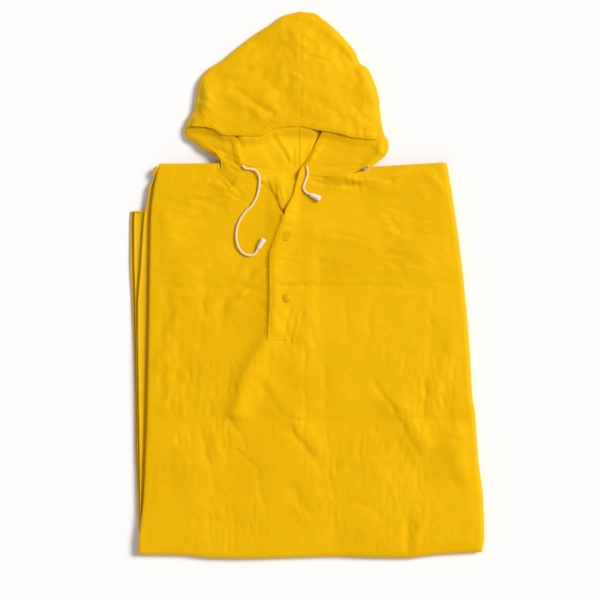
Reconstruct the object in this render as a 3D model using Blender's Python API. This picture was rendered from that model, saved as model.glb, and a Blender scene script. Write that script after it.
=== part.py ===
"""Rain poncho in coated cloth, folded and laid flat with its hood spread above the shoulders.

The lengths in the tables are millimetres, and MM turns them into the metres of the meshes.
+X is the garment's right-hand side as seen from above, +Y points to the hood and +Z is up.
The origin lies on the floor, below the middle of the garment's length and width.
"""

import math

import bmesh
import bpy
from mathutils import Vector

MM = 0.001

# ---------------------------------------------------------------- driving sizes
WALL = 1.2                 # cloth wall
GAP = 0.3                  # clearance between neighbouring pieces
FOLDS_TOP = 17.0           # flat top of the hidden folded layers
BASE_LIFT = 1.2            # air below the slack front panel
NECK_LIFT = 1.5            # extra height round the neck, where the back neck lies below
PLACKET_LIFT = 1.3         # extra height along the placket, where the under-flap lies below
EDGE_FADE = 30.0           # distance over which the front panel settles to its edges

CORD_DIAMETER = 4.0
CORD_POINT_STEP = 9.0
BELL_LENGTH = 20.0
BELL_MOUTH_DIAMETER = 10.0
SNAP_CAP_DIAMETER = 16.0
SNAP_CAP_HEIGHT = 3.0
SNAP_BACK_DIAMETER = 17.0
SNAP_BACK_HEIGHT = 1.0
SNAP_SEAT = 0.6            # snaps stand this far off the band's curved face
BELL_CLEARANCE = 0.5       # between a cord's end and its bell

# Profiles of the turned pieces, bottom to top. Rows: share of the radius, share of the height.
SNAP_CAP_PROFILE = [(0.0, 0.0), (0.92, 0.0), (1.0, 0.25), (0.90, 0.60), (0.55, 0.92), (0.0, 1.0)]
SNAP_BACK_PROFILE = [(0.0, 0.0), (0.96, 0.0), (1.0, 0.5), (0.80, 1.0), (0.55, 0.6), (0.0, 0.6)]
BELL_PROFILE = [(0.0, 0.0), (0.50, 0.0), (0.62, 0.10), (0.80, 0.40), (0.98, 0.80), (0.90, 0.95),
                (0.5, 1.0), (0.0, 1.0)]
SNAP_STEPS = 20            # flats round a snap
BELL_STEPS = 16            # flats round a bell
CORD_SAMPLES = 16          # points between two of a cord's route points

CASING_WIDTH = 15.0        # hem tunnel round the face opening
CASING_EDGE = 0.8          # its height along both stitched edges
CASING_CROWN = 3.2         # its height over the cord inside
CHEEK_CASING_CROWN = 4.6

SEAM_X = -12.0             # centre seam of the hood
NAPE_Y = 190.0             # lower end of the hood's centre seam at the back

# Rolled edges of the front panel: reach inwards, height of the roll's curve, last angle in degrees, cells.
SMALL_ROLL = {"reach": 5.0, "height": 2.6, "last": 140.0, "cells": 5}
TOP_ROLL = {"reach": 5.0, "height": 2.6, "last": 140.0, "cells": 4}
LARGE_ROLL = {"reach": 9.0, "height": 9.0, "last": 130.0, "cells": 6}
UNDER_ANGLE = 80.0         # cells that start past this angle lie on the roll's underside
UNDER_REACH = 0.35         # an underside stops this share of the reach from the next roll's edge
SKIRT_PROBE_Y = -470.0     # a column is read here to find its place on the bottom edge
NECK_SIDE_GAP = 0.7        # share of the clearance by which the neck's edge stands off sideways

# ---------------------------------------------------------------- lines of the front panel
# Each long line runs down the sheet. Rows: y, x.
LEFT_EDGE = [(213, -258), (196, -263), (164, -269), (142, -272), (114, -274), (-26, -276.5),
             (-220, -280), (-305, -283), (-368, -286), (-418, -291), (-453, -295), (-473, -295)]
NECK_LEFT_LINE = [(213, -152.6), (-480, -150)]
FLAP_LEFT_LINE = [(187, -110), (175, -88), (156, -70), (133, -53), (122.5, -44.5), (100, -50),
                  (72, -60), (51, -65.5), (-17, -65.5), (-60, -67), (-96, -69), (-480, -85)]
SLIT_LEFT_LINE = [(190, -98), (184, -89), (175, -75), (156, -61), (133, -47), (122.5, -40.6),
                  (100, -38.2), (-96, -37.6), (-180, -42), (-480, -48)]
SLIT_RIGHT_LINE = [(201, -12), (170, -21), (161, -22.8), (122.5, -39.2), (100, -36.8), (-96, -36.2),
                   (-180, -30), (-480, -18)]
STITCH_LINE = [(196, -3.5), (166, -7), (114, -7), (56, -5), (-2, -2.5), (-45, -1), (-96, -1), (-480, 20)]
NECK_RIGHT_LINE = [(213, 108.5), (-480, 125)]
RIGHT_EDGE = [(215, 245), (161, 254), (65, 268), (-10, 276.5), (-110, 285), (-200, 290.5),
              (-220, 294), (-305, 300.5), (-376, 309), (-441, 311), (-468, 307)]

# Cells across the sheet, from each line to the next one.
SPANS = (("left edge", LEFT_EDGE, 5), ("left neck", NECK_LEFT_LINE, 5), ("flap", FLAP_LEFT_LINE, 1),
         ("slit left", SLIT_LEFT_LINE, 1), ("slit right", SLIT_RIGHT_LINE, 2), ("stitches", STITCH_LINE, 4),
         ("right neck", NECK_RIGHT_LINE, 6), ("right edge", RIGHT_EDGE, 0))

# Edges that run across. Rows: x, y.
LEFT_SHOULDER = [(-258, 212.5), (-152.6, 213)]
RIGHT_SHOULDER = [(108.5, 206.5), (245, 215)]
BOTTOM_EDGE = [(-295, -473), (-220, -474), (-157, -479.5), (-98, -480), (-30, -478), (54, -476),
               (122, -478), (173, -478.5), (233, -472.5), (307, -468)]

# Neck seam, shared by the front panel and the hood. Rows: x, y, from the shoulder to the V on each side.
NECK_SEAM_LEFT = [(-152.6, 208), (-148, 197), (-141, 186), (-131, 181), (-121, 182.5), (-110, 186.5),
                  (-98, 190)]
NECK_SEAM_RIGHT = [(108.5, 201.5), (80, 195), (50, 190), (20, 190), (-3.5, 196), (-8, 198.5), (-12, 201)]

V_BOTTOM_Y = 122.5
PLACKET_BOTTOM_Y = -96.0
NECK_ROWS = 5
PLACKET_ROWS = 9
SKIRT_ROWS = 15
SLIT_BOTTOM_ROW = NECK_ROWS + PLACKET_ROWS - 1

# Stretches where the front panel lies higher over other pieces. Rows: lift, x from, x to, fade across,
# y from, y to, fade along.
PANEL_LIFTS = [(NECK_LIFT, -128, 60, 40, 98, 220, 30), (PLACKET_LIFT, -52, 4, 22, -96, 110, 24)]
RIGHT_FADE_X = (80, 110)   # where the fade to the right shoulder's edge sets in

# Largest creases and soft folds of the front panel. Rows: x0, y0, x1, y1, height, half width.
CREASES = [
    (30, 3, 280, 6, -1.0, 16),         # storage crease across the middle
    (-270, 2, -105, -3, -0.7, 15),
    (-255, -236, 290, -236, -1.1, 18),  # storage crease across the skirt
    (28, -105, 48, -470, -1.0, 18),    # storage crease down the skirt
    (-68, -90, -128, -222, 2.0, 22),   # long soft fold from the foot of the placket
    (152, -216, 196, -284, 1.6, 20),
    (20, 92, 110, 76, 1.5, 16),        # folds beside the upper placket
    (60, 176, 206, 190, 1.6, 17),      # slack below the right shoulder
    (-205, 150, -130, 168, 1.4, 17),   # gathers below the left neck
    (-240, 95, -190, -60, 1.2, 24),
    (190, 60, 236, -70, 1.3, 24),
    (-220, -300, -180, -420, 1.3, 24),
    (120, -330, 230, -420, 1.2, 26),
]

# Folded layers below the front panel. Rows: floor z, top z, inset of the right, bottom and top edges.
FOLDED_LAYERS = [(0.0, 4.3, 2.2, 2.0, 2.2), (4.6, 8.8, 3.8, 4.0, 0.8), (9.1, 13.0, 3.8, 4.0, 2.6),
                 (13.4, 17.0, 6.0, 6.2, 5.0)]
LAYER_NOSE = 2.5           # how far a layer's rounded edge stands out
TOP_LAYER_INSET = 3.8      # of the top layer from the front panel's left edge
# Left edges of the three lower layers. Rows: y, strip below, strip above it, second fold, direction that
# the inset takes in y.
LAYER_LEFT = [
    (212, -252, -254, -255, -1), (196, -258, -260, -264, 0), (172, -264, -266, -277, 0),
    (150, -268, -270, -280, 0), (136, -270, -272, -282.5, 0), (131, -272, -274, -284, -1),
    (130, -309, -303, -285, -1), (112, -310.5, -304.5, -287, 0), (35, -311, -304, -292, 0),
    (-30, -307.5, -302, -297.5, 0), (-114, -304.5, -300.5, -297, 0), (-200, -302.8, -299.5, -296, 0),
    (-284, -302, -299, -294.5, 0), (-368, -298.4, -296.5, -293.5, 0), (-432, -296.6, -295, -293.0, 0),
    (-450, -291.0, -290.5, -290.0, 0)]
LAYER_BOTTOM_X = (-290, -240, -175, -98, -30, 54, 122, 173, 233, 288)
LAYER_RIGHT_Y = (-448, -376, -305, -210, -110, -10, 65, 161, 200)
LAYER_TOP_X = (230, 180, 120, 104, 60, 0, -60, -110, -146, -160, -205)
NECK_TOP_Y = 202.0         # the folded layers stop lower behind the neck
NECK_TOP_SPAN = (-150, 110)

# ---------------------------------------------------------------- hood
# Crown ribs, from the centre seam to the corner of the face opening.
# Rows: outline x, outline y, hem x, hem y, height at the hem, height at the rolled edge.
LEFT_CROWN = [
    (-12, 480, -12, 276.5, 27.0, 11.0), (-26.6, 477, -25, 276, 27.2, 11.0),
    (-45.5, 471, -42, 275, 27.4, 11.5), (-63, 457.6, -60, 270, 27.2, 12.0),
    (-86, 443.6, -80, 260.5, 26.6, 12.0), (-117, 420.5, -104, 260, 25.8, 12.5),
    (-149.6, 393.8, -128, 260.8, 25.0, 13.0), (-175, 377, -148, 262, 24.4, 13.5),
    (-189, 357, -162, 271, 23.8, 14.0), (-194, 331, -174, 274.7, 23.0, 14.5),
    (-198.6, 304.5, -184, 275.8, 22.0, 15.0), (-206.5, 293, -194, 276.7, 21.0, 15.0),
    (-212.5, 280, -203, 277.5, 19.5, 15.0)]
RIGHT_CROWN = [
    (-12, 480, -12, 276.5, 27.0, 11.0), (2, 478.5, 0, 274.2, 27.0, 11.0),
    (14, 476.7, 12, 271.5, 27.0, 11.0), (26, 468, 24, 269, 26.8, 11.5),
    (45.5, 452.5, 38, 267, 26.6, 12.0), (68, 429.5, 52, 264.6, 26.0, 12.0),
    (84, 409.5, 66, 261, 25.4, 12.5), (94.5, 387.6, 80, 257.2, 24.6, 13.0),
    (105, 381.5, 90, 256, 24.0, 13.5), (115.5, 362, 99, 255, 23.2, 14.0),
    (125, 334, 107, 254.2, 22.4, 14.5), (128, 306, 114, 254, 21.4, 15.0),
    (132, 279, 121, 255, 20.0, 15.0)]
# Cheeks, from the corner of the face opening down to the neck.
# Rows: outline x, outline y, face edge x, face edge y, height at the face edge, height at the rolled edge.
LEFT_CHEEK = [
    (-212.5, 280, -136, 270, 15.6, 15.0), (-214.4, 268, -129, 263, 16.4, 13.0),
    (-210, 257, -121.5, 255.5, 17.4, 13.0), (-203, 252.5, -116.5, 247, 18.4, 13.5),
    (-196, 249.4, -114, 239, 19.4, 14.5), (-186.6, 240, -112, 230, 20.2, 15.5),
    (-177, 234.5, -108, 220, 20.8, 16.5), (-168, 230, -103.5, 211, 21.2, 17.5),
    (-161.5, 225.5, -100, 201, 21.4, 18.5), (-154.5, 217, -98, 190, 21.5, 19.8)]
RIGHT_CHEEK = [
    (132, 279, 36, 283, 15.6, 15.0), (135, 265.5, 31, 275, 16.4, 13.0),
    (141.5, 254, 26, 267, 17.4, 13.0), (143.5, 243, 21, 257.5, 18.4, 14.0),
    (142, 235, 16, 248, 19.4, 15.0), (138, 227.5, 11.5, 239.5, 20.2, 16.0),
    (132, 221.5, 7, 231, 20.8, 17.0), (125, 216.5, 1, 221, 21.2, 18.0),
    (117.5, 212, -5.5, 211, 21.4, 19.0), (110.5, 208.5, -12, 201, 21.5, 20.0)]
# Underside of the hood's back, from the stack down to the floor. Rows: y, z.
BACK_SLOPE = [(150, 17.3), (208, 17.3), (212, 15.9), (220, 11.0), (235, 4.2), (250, 0.7), (262, 0.0),
              (480, 0.0)]
# Soft folds of the crown. Rows: x0, y0, x1, y1, height, half width.
CROWN_FOLDS = [(-127, 345, -60, 299, 1.8, 18), (42, 448, 94, 386, -1.6, 14), (-72, 448, -28, 428, -1.2, 18),
               (68, 371, 99, 334, 1.4, 14)]
CASING_CELLS = 2           # across the hem tunnel
CROWN_CELLS = 7            # between the casing and the rolled outline
CROWN_SETTLE = 4.0         # a rib's folds fade out over its last quarter
ROLL_CELLS = 4
CORNER_OPENING = 0.3       # share of a cell by which the cheek stands off the crown's corner
BACK_CELLS = 9
NAPE_CROWDING = 1.4        # above 1 crowds the back's rows towards the nape
BACK_FOLLOW = 8            # power by which the back's outer columns follow the cheek's outline
CHEEK_CELLS = 4            # between the rolled outline and the casing
CHEEK_SAG_POWER = 3        # by which the cheek's rows bend to the neck seam

# Back neck inside the V. Rows: x, upper edge y.
BACK_NECK_TOP = [(-122, 205.8), (-96, 201.4), (-54, 195.2), (-12, 189.2), (12, 191.6)]
BACK_NECK_BOTTOM_Y = 101.0
BACK_NECK_COLUMNS = 14
BACK_NECK_ROWS = 7
BACK_NECK_FOLDS = [(-21, 186, -26, 150, 1.0, 8), (-45, 160, -38, 130, 0.9, 7), (-70, 196, -55, 165, 0.8, 9)]
# Its folds keep to the open V. Columns: from, to, fade.
BACK_NECK_OPEN_X = (-70, -30, 14)
BACK_NECK_OPEN_Y = (140, 180, 14)

# Drawcord ends: route points, chosen along the cloth. Rows: x, y, z.
LEFT_CORD = [(-112.5, 208.8, 23.8), (-108.4, 203.8, 23.9), (-100.2, 202.4, 23.8), (-90.5, 200.4, 23.1),
             (-84.2, 191.6, 22.9), (-83.4, 174.4, 23.7), (-88.4, 152.3, 23.8), (-96.6, 138.3, 23.8),
             (-107.6, 127.6, 23.8), (-117.3, 112.9, 23.8), (-123.2, 94.5, 23.5), (-123.2, 78.8, 22.7),
             (-118.9, 64.4, 22.4), (-110.0, 54.8, 22.4), (-98.8, 51.6, 22.5), (-90.2, 55.6, 23.2),
             (-85.9, 62.6, 24.0)]
RIGHT_CORD = [(-0.9, 208.0, 23.9), (0.6, 201.0, 23.9), (1.2, 193.6, 24.0), (-1.2, 185.2, 24.5),
              (-4.6, 177.2, 25.1), (-6.2, 168.8, 25.3), (-1.6, 161.6, 24.9), (4.6, 158.6, 24.8)]
LEFT_BELL_END = (-73.6, 82.6, 26.1)
RIGHT_BELL_END = (22.8, 150.2, 26.9)

SNAPS = (("snap_cap_lower", -35.0, -23.0), ("snap_upper", -37.0, 86.0))

# ---------------------------------------------------------------- finishes: colour, roughness, metallic
FINISHES = {
    "cloth_outside": ((0.880, 0.480, 0.006), 0.45, 0.0),
    "cloth_inside": ((0.930, 0.540, 0.010), 0.50, 0.0),
    "cloth_folds": ((0.780, 0.410, 0.004), 0.50, 0.0),
    "snap_yellow": ((0.860, 0.470, 0.006), 0.30, 0.0),
    "cord_white": ((0.880, 0.850, 0.780), 0.80, 0.0),
    "bell_white": ((0.900, 0.890, 0.840), 0.35, 0.0),
}


# ---------------------------------------------------------------- small helpers
def along(table, key):
    """Value of a two-column table at key, straight between its rows."""
    rows = sorted(table)
    if key <= rows[0][0]:
        return rows[0][1]
    for (key_0, value_0), (key_1, value_1) in zip(rows, rows[1:]):
        if key <= key_1:
            return value_0 + (value_1 - value_0) * (key - key_0) / (key_1 - key_0)
    return rows[-1][1]


def mix(first, second, share):
    """Point or number that lies the given share of the way from first to second."""
    return first + (second - first) * share


def smooth_step(value):
    """Eased 0 to 1."""
    value = min(1.0, max(0.0, value))
    return value * value * (3.0 - 2.0 * value)


def plateau(value, low, high, fade):
    """1 between low and high, easing to 0 over the fade on both sides."""
    return smooth_step((value - low) / fade + 1.0) * smooth_step((high - value) / fade + 1.0)


def fold_height(folds, x, y):
    """Sum of the soft ridges and troughs of a table at a point."""
    total = 0.0
    for x0, y0, x1, y1, height, half_width in folds:
        run_x, run_y = x1 - x0, y1 - y0
        share = ((x - x0) * run_x + (y - y0) * run_y) / (run_x * run_x + run_y * run_y)
        near = min(1.0, max(0.0, share))
        distance = math.hypot(x - x0 - near * run_x, y - y0 - near * run_y)
        total += height * math.exp(-((distance / half_width) ** 2))
    return total


def finish(name):
    """Material with a finish's colour, roughness and metallic value."""
    material = bpy.data.materials.get(name)
    if material:
        return material
    colour, roughness, metallic = FINISHES[name]
    material = bpy.data.materials.new(name)
    material.use_nodes = True
    shader = material.node_tree.nodes["Principled BSDF"]
    shader.inputs["Base Color"].default_value = (*colour, 1.0)
    shader.inputs["Roughness"].default_value = roughness
    shader.inputs["Metallic"].default_value = metallic
    material.diffuse_color = (*colour, 1.0)
    return material


def add_object(name, mesh, finish_name):
    """Object for a finished mesh, shaded smooth with sharp rims."""
    mesh.materials.append(finish(finish_name))
    mesh.shade_smooth()
    mesh.set_sharp_from_angle(angle=math.radians(40))
    item = bpy.data.objects.new(name, mesh)
    bpy.context.collection.objects.link(item)
    return item


def wall_object(name, cells, outer, inner, finish_name, mirrored_below=None):
    """Closed cloth wall over a set of grid cells.

    outer and inner give the two skins' points at a grid corner. Both skins are split along the
    same diagonals, the other way in columns below mirrored_below, and a rim closes every edge
    that only one cell has.
    """
    work = bmesh.new()
    corners = {}

    def corner(skin, place):
        if (skin, place) not in corners:
            point = outer(*place) if skin else inner(*place)
            corners[(skin, place)] = work.verts.new(Vector(point) * MM)
        return corners[(skin, place)]

    edge_uses = {}
    for column, row in cells:
        ring = [(column, row), (column, row + 1), (column + 1, row + 1), (column + 1, row)]
        mirrored = mirrored_below is not None and column < mirrored_below
        for triangle in ((0, 1, 2), (0, 2, 3)) if mirrored else ((0, 1, 3), (1, 2, 3)):
            places = [ring[index] for index in triangle]
            work.faces.new([corner(True, place) for place in places])
            work.faces.new([corner(False, place) for place in reversed(places)])
        for start, end in zip(ring, ring[1:] + ring[:1]):
            if (end, start) in edge_uses:
                del edge_uses[(end, start)]
            else:
                edge_uses[(start, end)] = True
    for start, end in edge_uses:
        low_start, low_end = corner(False, start), corner(False, end)
        high_start, high_end = corner(True, start), corner(True, end)
        work.faces.new((high_end, high_start, low_start))
        work.faces.new((high_end, low_start, low_end))
    if work.calc_volume(signed=True) < 0.0:
        bmesh.ops.reverse_faces(work, faces=work.faces)
    mesh = bpy.data.meshes.new(name)
    work.to_mesh(mesh)
    work.free()
    return add_object(name, mesh, finish_name)


# ---------------------------------------------------------------- front panel
def column_starts():
    """Grid column of each long line, and of the last line."""
    starts, column = {}, 0
    for line_name, _line, cells in SPANS:
        starts[line_name] = column
        column += cells
    return starts


COLUMN = column_starts()
LAST_COLUMN = COLUMN["right edge"]
LAST_ROW = NECK_ROWS + PLACKET_ROWS + SKIRT_ROWS


def line_x(column, y):
    """x of a grid column at a height y on the sheet."""
    for (name_0, line_0, cells), (name_1, line_1, _cells) in zip(SPANS, SPANS[1:]):
        start = COLUMN[name_0]
        if start <= column <= start + cells:
            x0, x1 = along(line_0, y), along(line_1, y)
            if name_0 == "left edge":
                x0 += SMALL_ROLL["reach"]
            if name_1 == "right edge":
                x1 -= LARGE_ROLL["reach"]
            return mix(x0, x1, (column - start) / cells)
    raise ValueError(f"no such column: {column}")


def neck_seam_point(column):
    """Neck seam point on a grid column, or None beside the neck."""
    if COLUMN["left neck"] < column <= COLUMN["slit left"]:
        return NECK_SEAM_LEFT[column - COLUMN["left neck"]]
    if COLUMN["slit right"] <= column < COLUMN["right neck"]:
        return NECK_SEAM_RIGHT[COLUMN["right neck"] - column]
    return None


def shoulder_y(column):
    """y of the shoulder fold on a grid column beside the neck."""
    if column <= COLUMN["left neck"]:
        return along(LEFT_SHOULDER, line_x(column, LEFT_SHOULDER[0][1]))
    return along(RIGHT_SHOULDER, line_x(column, RIGHT_SHOULDER[1][1]))


def flat_point(column, row):
    """Plan position of a grid corner inside the rolled edges."""
    seam = neck_seam_point(column)
    if seam:
        side = -1 if column <= COLUMN["slit left"] else 1
        top_x, top_y = seam[0] + side * GAP * NECK_SIDE_GAP, seam[1] - GAP
    else:
        top_y = shoulder_y(column) - TOP_ROLL["reach"]
        top_x = line_x(column, top_y)
    if row <= NECK_ROWS:
        share = row / NECK_ROWS
        y = mix(top_y, V_BOTTOM_Y, share)
        return line_x(column, y) + (top_x - line_x(column, top_y)) * (1.0 - share) ** 2, y
    if row <= NECK_ROWS + PLACKET_ROWS:
        y = mix(V_BOTTOM_Y, PLACKET_BOTTOM_Y, (row - NECK_ROWS) / PLACKET_ROWS)
        return line_x(column, y), y
    bottom_y = along(BOTTOM_EDGE, line_x(column, SKIRT_PROBE_Y)) + LARGE_ROLL["reach"]
    y = mix(PLACKET_BOTTOM_Y, bottom_y, (row - NECK_ROWS - PLACKET_ROWS) / SKIRT_ROWS)
    return line_x(column, y), y


def panel_top(x, y):
    """Height of the front panel's outer face."""
    lift = BASE_LIFT + fold_height(CREASES, x, y)
    for height, left_x, right_x, fade_x, low_y, high_y, fade_y in PANEL_LIFTS:
        lift += height * plateau(x, left_x, right_x, fade_x) * plateau(y, low_y, high_y, fade_y)
    fade = smooth_step((x - along(LEFT_EDGE, y)) / EDGE_FADE)
    fade *= smooth_step((along(RIGHT_EDGE, y) - x) / EDGE_FADE)
    fade *= smooth_step((y - along(BOTTOM_EDGE, x)) / EDGE_FADE)
    if x < NECK_SEAM_LEFT[1][0]:
        fade *= smooth_step((LEFT_SHOULDER[0][1] - y) / EDGE_FADE)
    elif x > NECK_SEAM_RIGHT[1][0]:
        fade_from, fade_to = RIGHT_FADE_X
        to_edge = smooth_step((along(RIGHT_SHOULDER, x) - y) / EDGE_FADE)
        fade *= mix(1.0, to_edge, smooth_step((x - fade_from) / (fade_to - fade_from)))
    return FOLDS_TOP + GAP + WALL + max(0.0, lift) * fade


def rolled_back(roll, angle, depth):
    """Distance from the outermost edge at an angle round a roll."""
    return depth + (roll["reach"] - depth) * (1.0 - math.sin(angle))


def rolled_drop(roll, angle, depth):
    """Distance below the top at an angle round a roll."""
    return depth + (roll["height"] - depth) * (1.0 - math.cos(angle))


def roll_angle(roll, steps):
    """Angle after a number of cells round a roll."""
    return math.radians(roll["last"]) * steps / roll["cells"]


def pillow(roll, angle_0, angle_1, depth):
    """Drop at a corner where two like rolls meet."""
    cos_0, cos_1 = math.cos(angle_0), math.cos(angle_1)
    both = cos_0 * cos_1 if min(cos_0, cos_1) >= 0.0 else min(cos_0, cos_1)
    return depth + (roll["height"] - depth) * (1.0 - both)


def panel_point(column, row, depth):
    """Point of the front panel, or of a face parallel to it at a depth below its outer face."""
    inner_column = min(max(column, 0), LAST_COLUMN)
    inner_row = min(max(row, 0), LAST_ROW)
    x, y = flat_point(inner_column, inner_row)
    left = roll_angle(SMALL_ROLL, -column) if column < 0 else 0.0
    right = roll_angle(LARGE_ROLL, column - LAST_COLUMN) if column > LAST_COLUMN else 0.0
    top = roll_angle(TOP_ROLL, -row) if row < 0 else 0.0
    bottom = roll_angle(LARGE_ROLL, row - LAST_ROW) if row > LAST_ROW else 0.0
    depth_x = depth_y = depth
    if row > LAST_ROW and column <= LAST_COLUMN:
        depth_y = rolled_drop(SMALL_ROLL, left, depth)
    if column > LAST_COLUMN and row <= LAST_ROW:
        depth_x = rolled_drop(TOP_ROLL, top, depth)
    if row < 0:
        y = shoulder_y(inner_column) - rolled_back(TOP_ROLL, top, depth)
    elif row > LAST_ROW:
        y = along(BOTTOM_EDGE, line_x(inner_column, SKIRT_PROBE_Y))
        y += rolled_back(LARGE_ROLL, bottom, depth_y)
    if column < 0:
        x = along(LEFT_EDGE, y) + rolled_back(SMALL_ROLL, left, depth)
    elif column > LAST_COLUMN:
        x = along(RIGHT_EDGE, y) - rolled_back(LARGE_ROLL, right, depth_x)
    elif row < 0 or row > LAST_ROW:
        x = line_x(column, y)
    if column < 0 and row < 0:
        drop = pillow(SMALL_ROLL, left, top, depth)
    elif column > LAST_COLUMN and row > LAST_ROW:
        drop = pillow(LARGE_ROLL, right, bottom, depth)
    elif column > LAST_COLUMN:
        drop = rolled_drop(LARGE_ROLL, right, depth_x)
    elif row > LAST_ROW:
        drop = rolled_drop(LARGE_ROLL, bottom, depth_y)
    elif column < 0:
        drop = rolled_drop(SMALL_ROLL, left, depth)
    else:
        drop = rolled_drop(TOP_ROLL, top, depth)
    return x, y, panel_top(x, y) - drop


def is_under(roll, step):
    """Whether a cell that starts a number of steps round a roll lies on its underside."""
    return roll_angle(roll, step) > math.radians(UNDER_ANGLE)


def is_near_edge(roll, step):
    """Whether a cell that starts a number of steps round a roll ends close to its outermost edge."""
    return 1.0 - math.sin(min(roll_angle(roll, step + 1), math.pi / 2.0)) < UNDER_REACH


def in_corner_gap(column, row):
    """Cells at two panel corners where the undersides of both rolls would meet."""
    if column < 0 and row < 0:
        rolls, steps = (SMALL_ROLL, TOP_ROLL), (-column - 1, -row - 1)
    elif column >= LAST_COLUMN and row >= LAST_ROW:
        rolls, steps = (LARGE_ROLL, LARGE_ROLL), (column - LAST_COLUMN, row - LAST_ROW)
    else:
        return False
    return (is_under(rolls[0], steps[0]) and is_near_edge(rolls[1], steps[1])
            or is_under(rolls[1], steps[1]) and is_near_edge(rolls[0], steps[0]))


def panel_cells():
    """Cells of the front panel: all but the neck, the V, the slit and the gaps at two corners."""
    cells = []
    for column in range(-SMALL_ROLL["cells"], LAST_COLUMN + LARGE_ROLL["cells"]):
        for row in range(-TOP_ROLL["cells"], LAST_ROW + LARGE_ROLL["cells"]):
            in_neck = row < 0 and COLUMN["left neck"] <= column < COLUMN["right neck"]
            in_slit = column == COLUMN["slit left"] and row < SLIT_BOTTOM_ROW
            if not in_neck and not in_slit and not in_corner_gap(column, row):
                cells.append((column, row))
    return cells


def make_front_panel():
    """One wall from the shoulders to the bottom fold, with the V neck and the slit cut out."""
    return wall_object("front_panel", panel_cells(), lambda c, r: panel_point(c, r, 0.0),
                       lambda c, r: panel_point(c, r, WALL), "cloth_outside")


def make_placket_over():
    """Band that closes over the slit, laid on the front panel's own points."""
    cells = [(column, row) for column in range(COLUMN["slit right"], COLUMN["stitches"])
             for row in range(0, NECK_ROWS + PLACKET_ROWS)]
    cells += [(column, row) for column in range(COLUMN["flap"], COLUMN["slit right"])
              for row in range(NECK_ROWS, NECK_ROWS + PLACKET_ROWS)]
    return wall_object("placket_over", cells, lambda c, r: panel_point(c, r, -GAP - WALL),
                       lambda c, r: panel_point(c, r, -GAP), "cloth_outside")


def make_placket_under():
    """Band below the slit."""
    cells = [(column, row) for column in range(COLUMN["slit left"], COLUMN["stitches"])
             for row in range(NECK_ROWS + 1, SLIT_BOTTOM_ROW)]
    return wall_object("placket_under", cells, lambda c, r: panel_point(c, r, WALL + GAP),
                       lambda c, r: panel_point(c, r, 2.0 * WALL + GAP), "cloth_inside")


def make_back_neck():
    """Stretch of the back panel that lies open inside the V neck."""
    width = BACK_NECK_TOP[-1][0] - BACK_NECK_TOP[0][0]

    def point(column, row, depth):
        x = BACK_NECK_TOP[0][0] + width * column / BACK_NECK_COLUMNS
        y = mix(along(BACK_NECK_TOP, x), BACK_NECK_BOTTOM_Y, row / BACK_NECK_ROWS)
        inside_v = plateau(x, *BACK_NECK_OPEN_X) * plateau(y, *BACK_NECK_OPEN_Y)
        return x, y, FOLDS_TOP + GAP + WALL - depth + inside_v * fold_height(BACK_NECK_FOLDS, x, y)

    cells = [(column, row) for column in range(BACK_NECK_COLUMNS) for row in range(BACK_NECK_ROWS)]
    return wall_object("back_neck", cells, lambda c, r: point(c, r, 0.0),
                       lambda c, r: point(c, r, WALL), "cloth_inside")


# ---------------------------------------------------------------- hidden folded layers
def layer_ring(layer, inset):
    """Outline of one folded layer, set in by a distance, counter-clockwise from its top left corner."""
    _floor, _top, right_inset, bottom_inset, top_inset = FOLDED_LAYERS[layer]
    ring = []
    start = 0.0
    for y, strip, upper_strip, second, direction in LAYER_LEFT:
        edge = (strip, upper_strip, second, along(LEFT_EDGE, y) + TOP_LAYER_INSET)[layer]
        start = edge + inset
        ring.append((start, min(y, LEFT_SHOULDER[0][1] - top_inset) + direction * inset))
    for x in LAYER_BOTTOM_X:
        limit = along(RIGHT_EDGE, -468) - right_inset - inset
        ring.append((min(max(x, start), limit), along(BOTTOM_EDGE, x) + bottom_inset + inset))
    for y in LAYER_RIGHT_Y:
        ring.append((along(RIGHT_EDGE, y) - right_inset - inset, y))
    for x in LAYER_TOP_X:
        if NECK_TOP_SPAN[0] < x < NECK_TOP_SPAN[1]:
            y = NECK_TOP_Y
        else:
            y = along(LEFT_SHOULDER if x < 0 else RIGHT_SHOULDER, x)
        ring.append((min(x, along(RIGHT_EDGE, 213) - right_inset - inset), y - top_inset - inset))
    return ring


def make_hidden_folds():
    """Rounded stack of the folded layers, each with its own rounded edge, on a flat underside."""
    work = bmesh.new()
    rings = []
    for layer, (floor, top, *_insets) in enumerate(FOLDED_LAYERS):
        for inset, z in ((LAYER_NOSE, floor), (0.0, (floor + top) / 2.0), (LAYER_NOSE, top)):
            rings.append([work.verts.new(Vector((x, y, z)) * MM) for x, y in layer_ring(layer, inset)])
    for low, high in zip(rings, rings[1:]):
        count = len(low)
        for index in range(count):
            after = (index + 1) % count
            work.faces.new((low[index], low[after], high[after]))
            work.faces.new((low[index], high[after], high[index]))
    work.faces.new(list(reversed(rings[0])))
    work.faces.new(rings[-1])
    mesh = bpy.data.meshes.new("hidden_folds")
    work.to_mesh(mesh)
    work.free()
    return add_object("hidden_folds", mesh, "cloth_folds")


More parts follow.
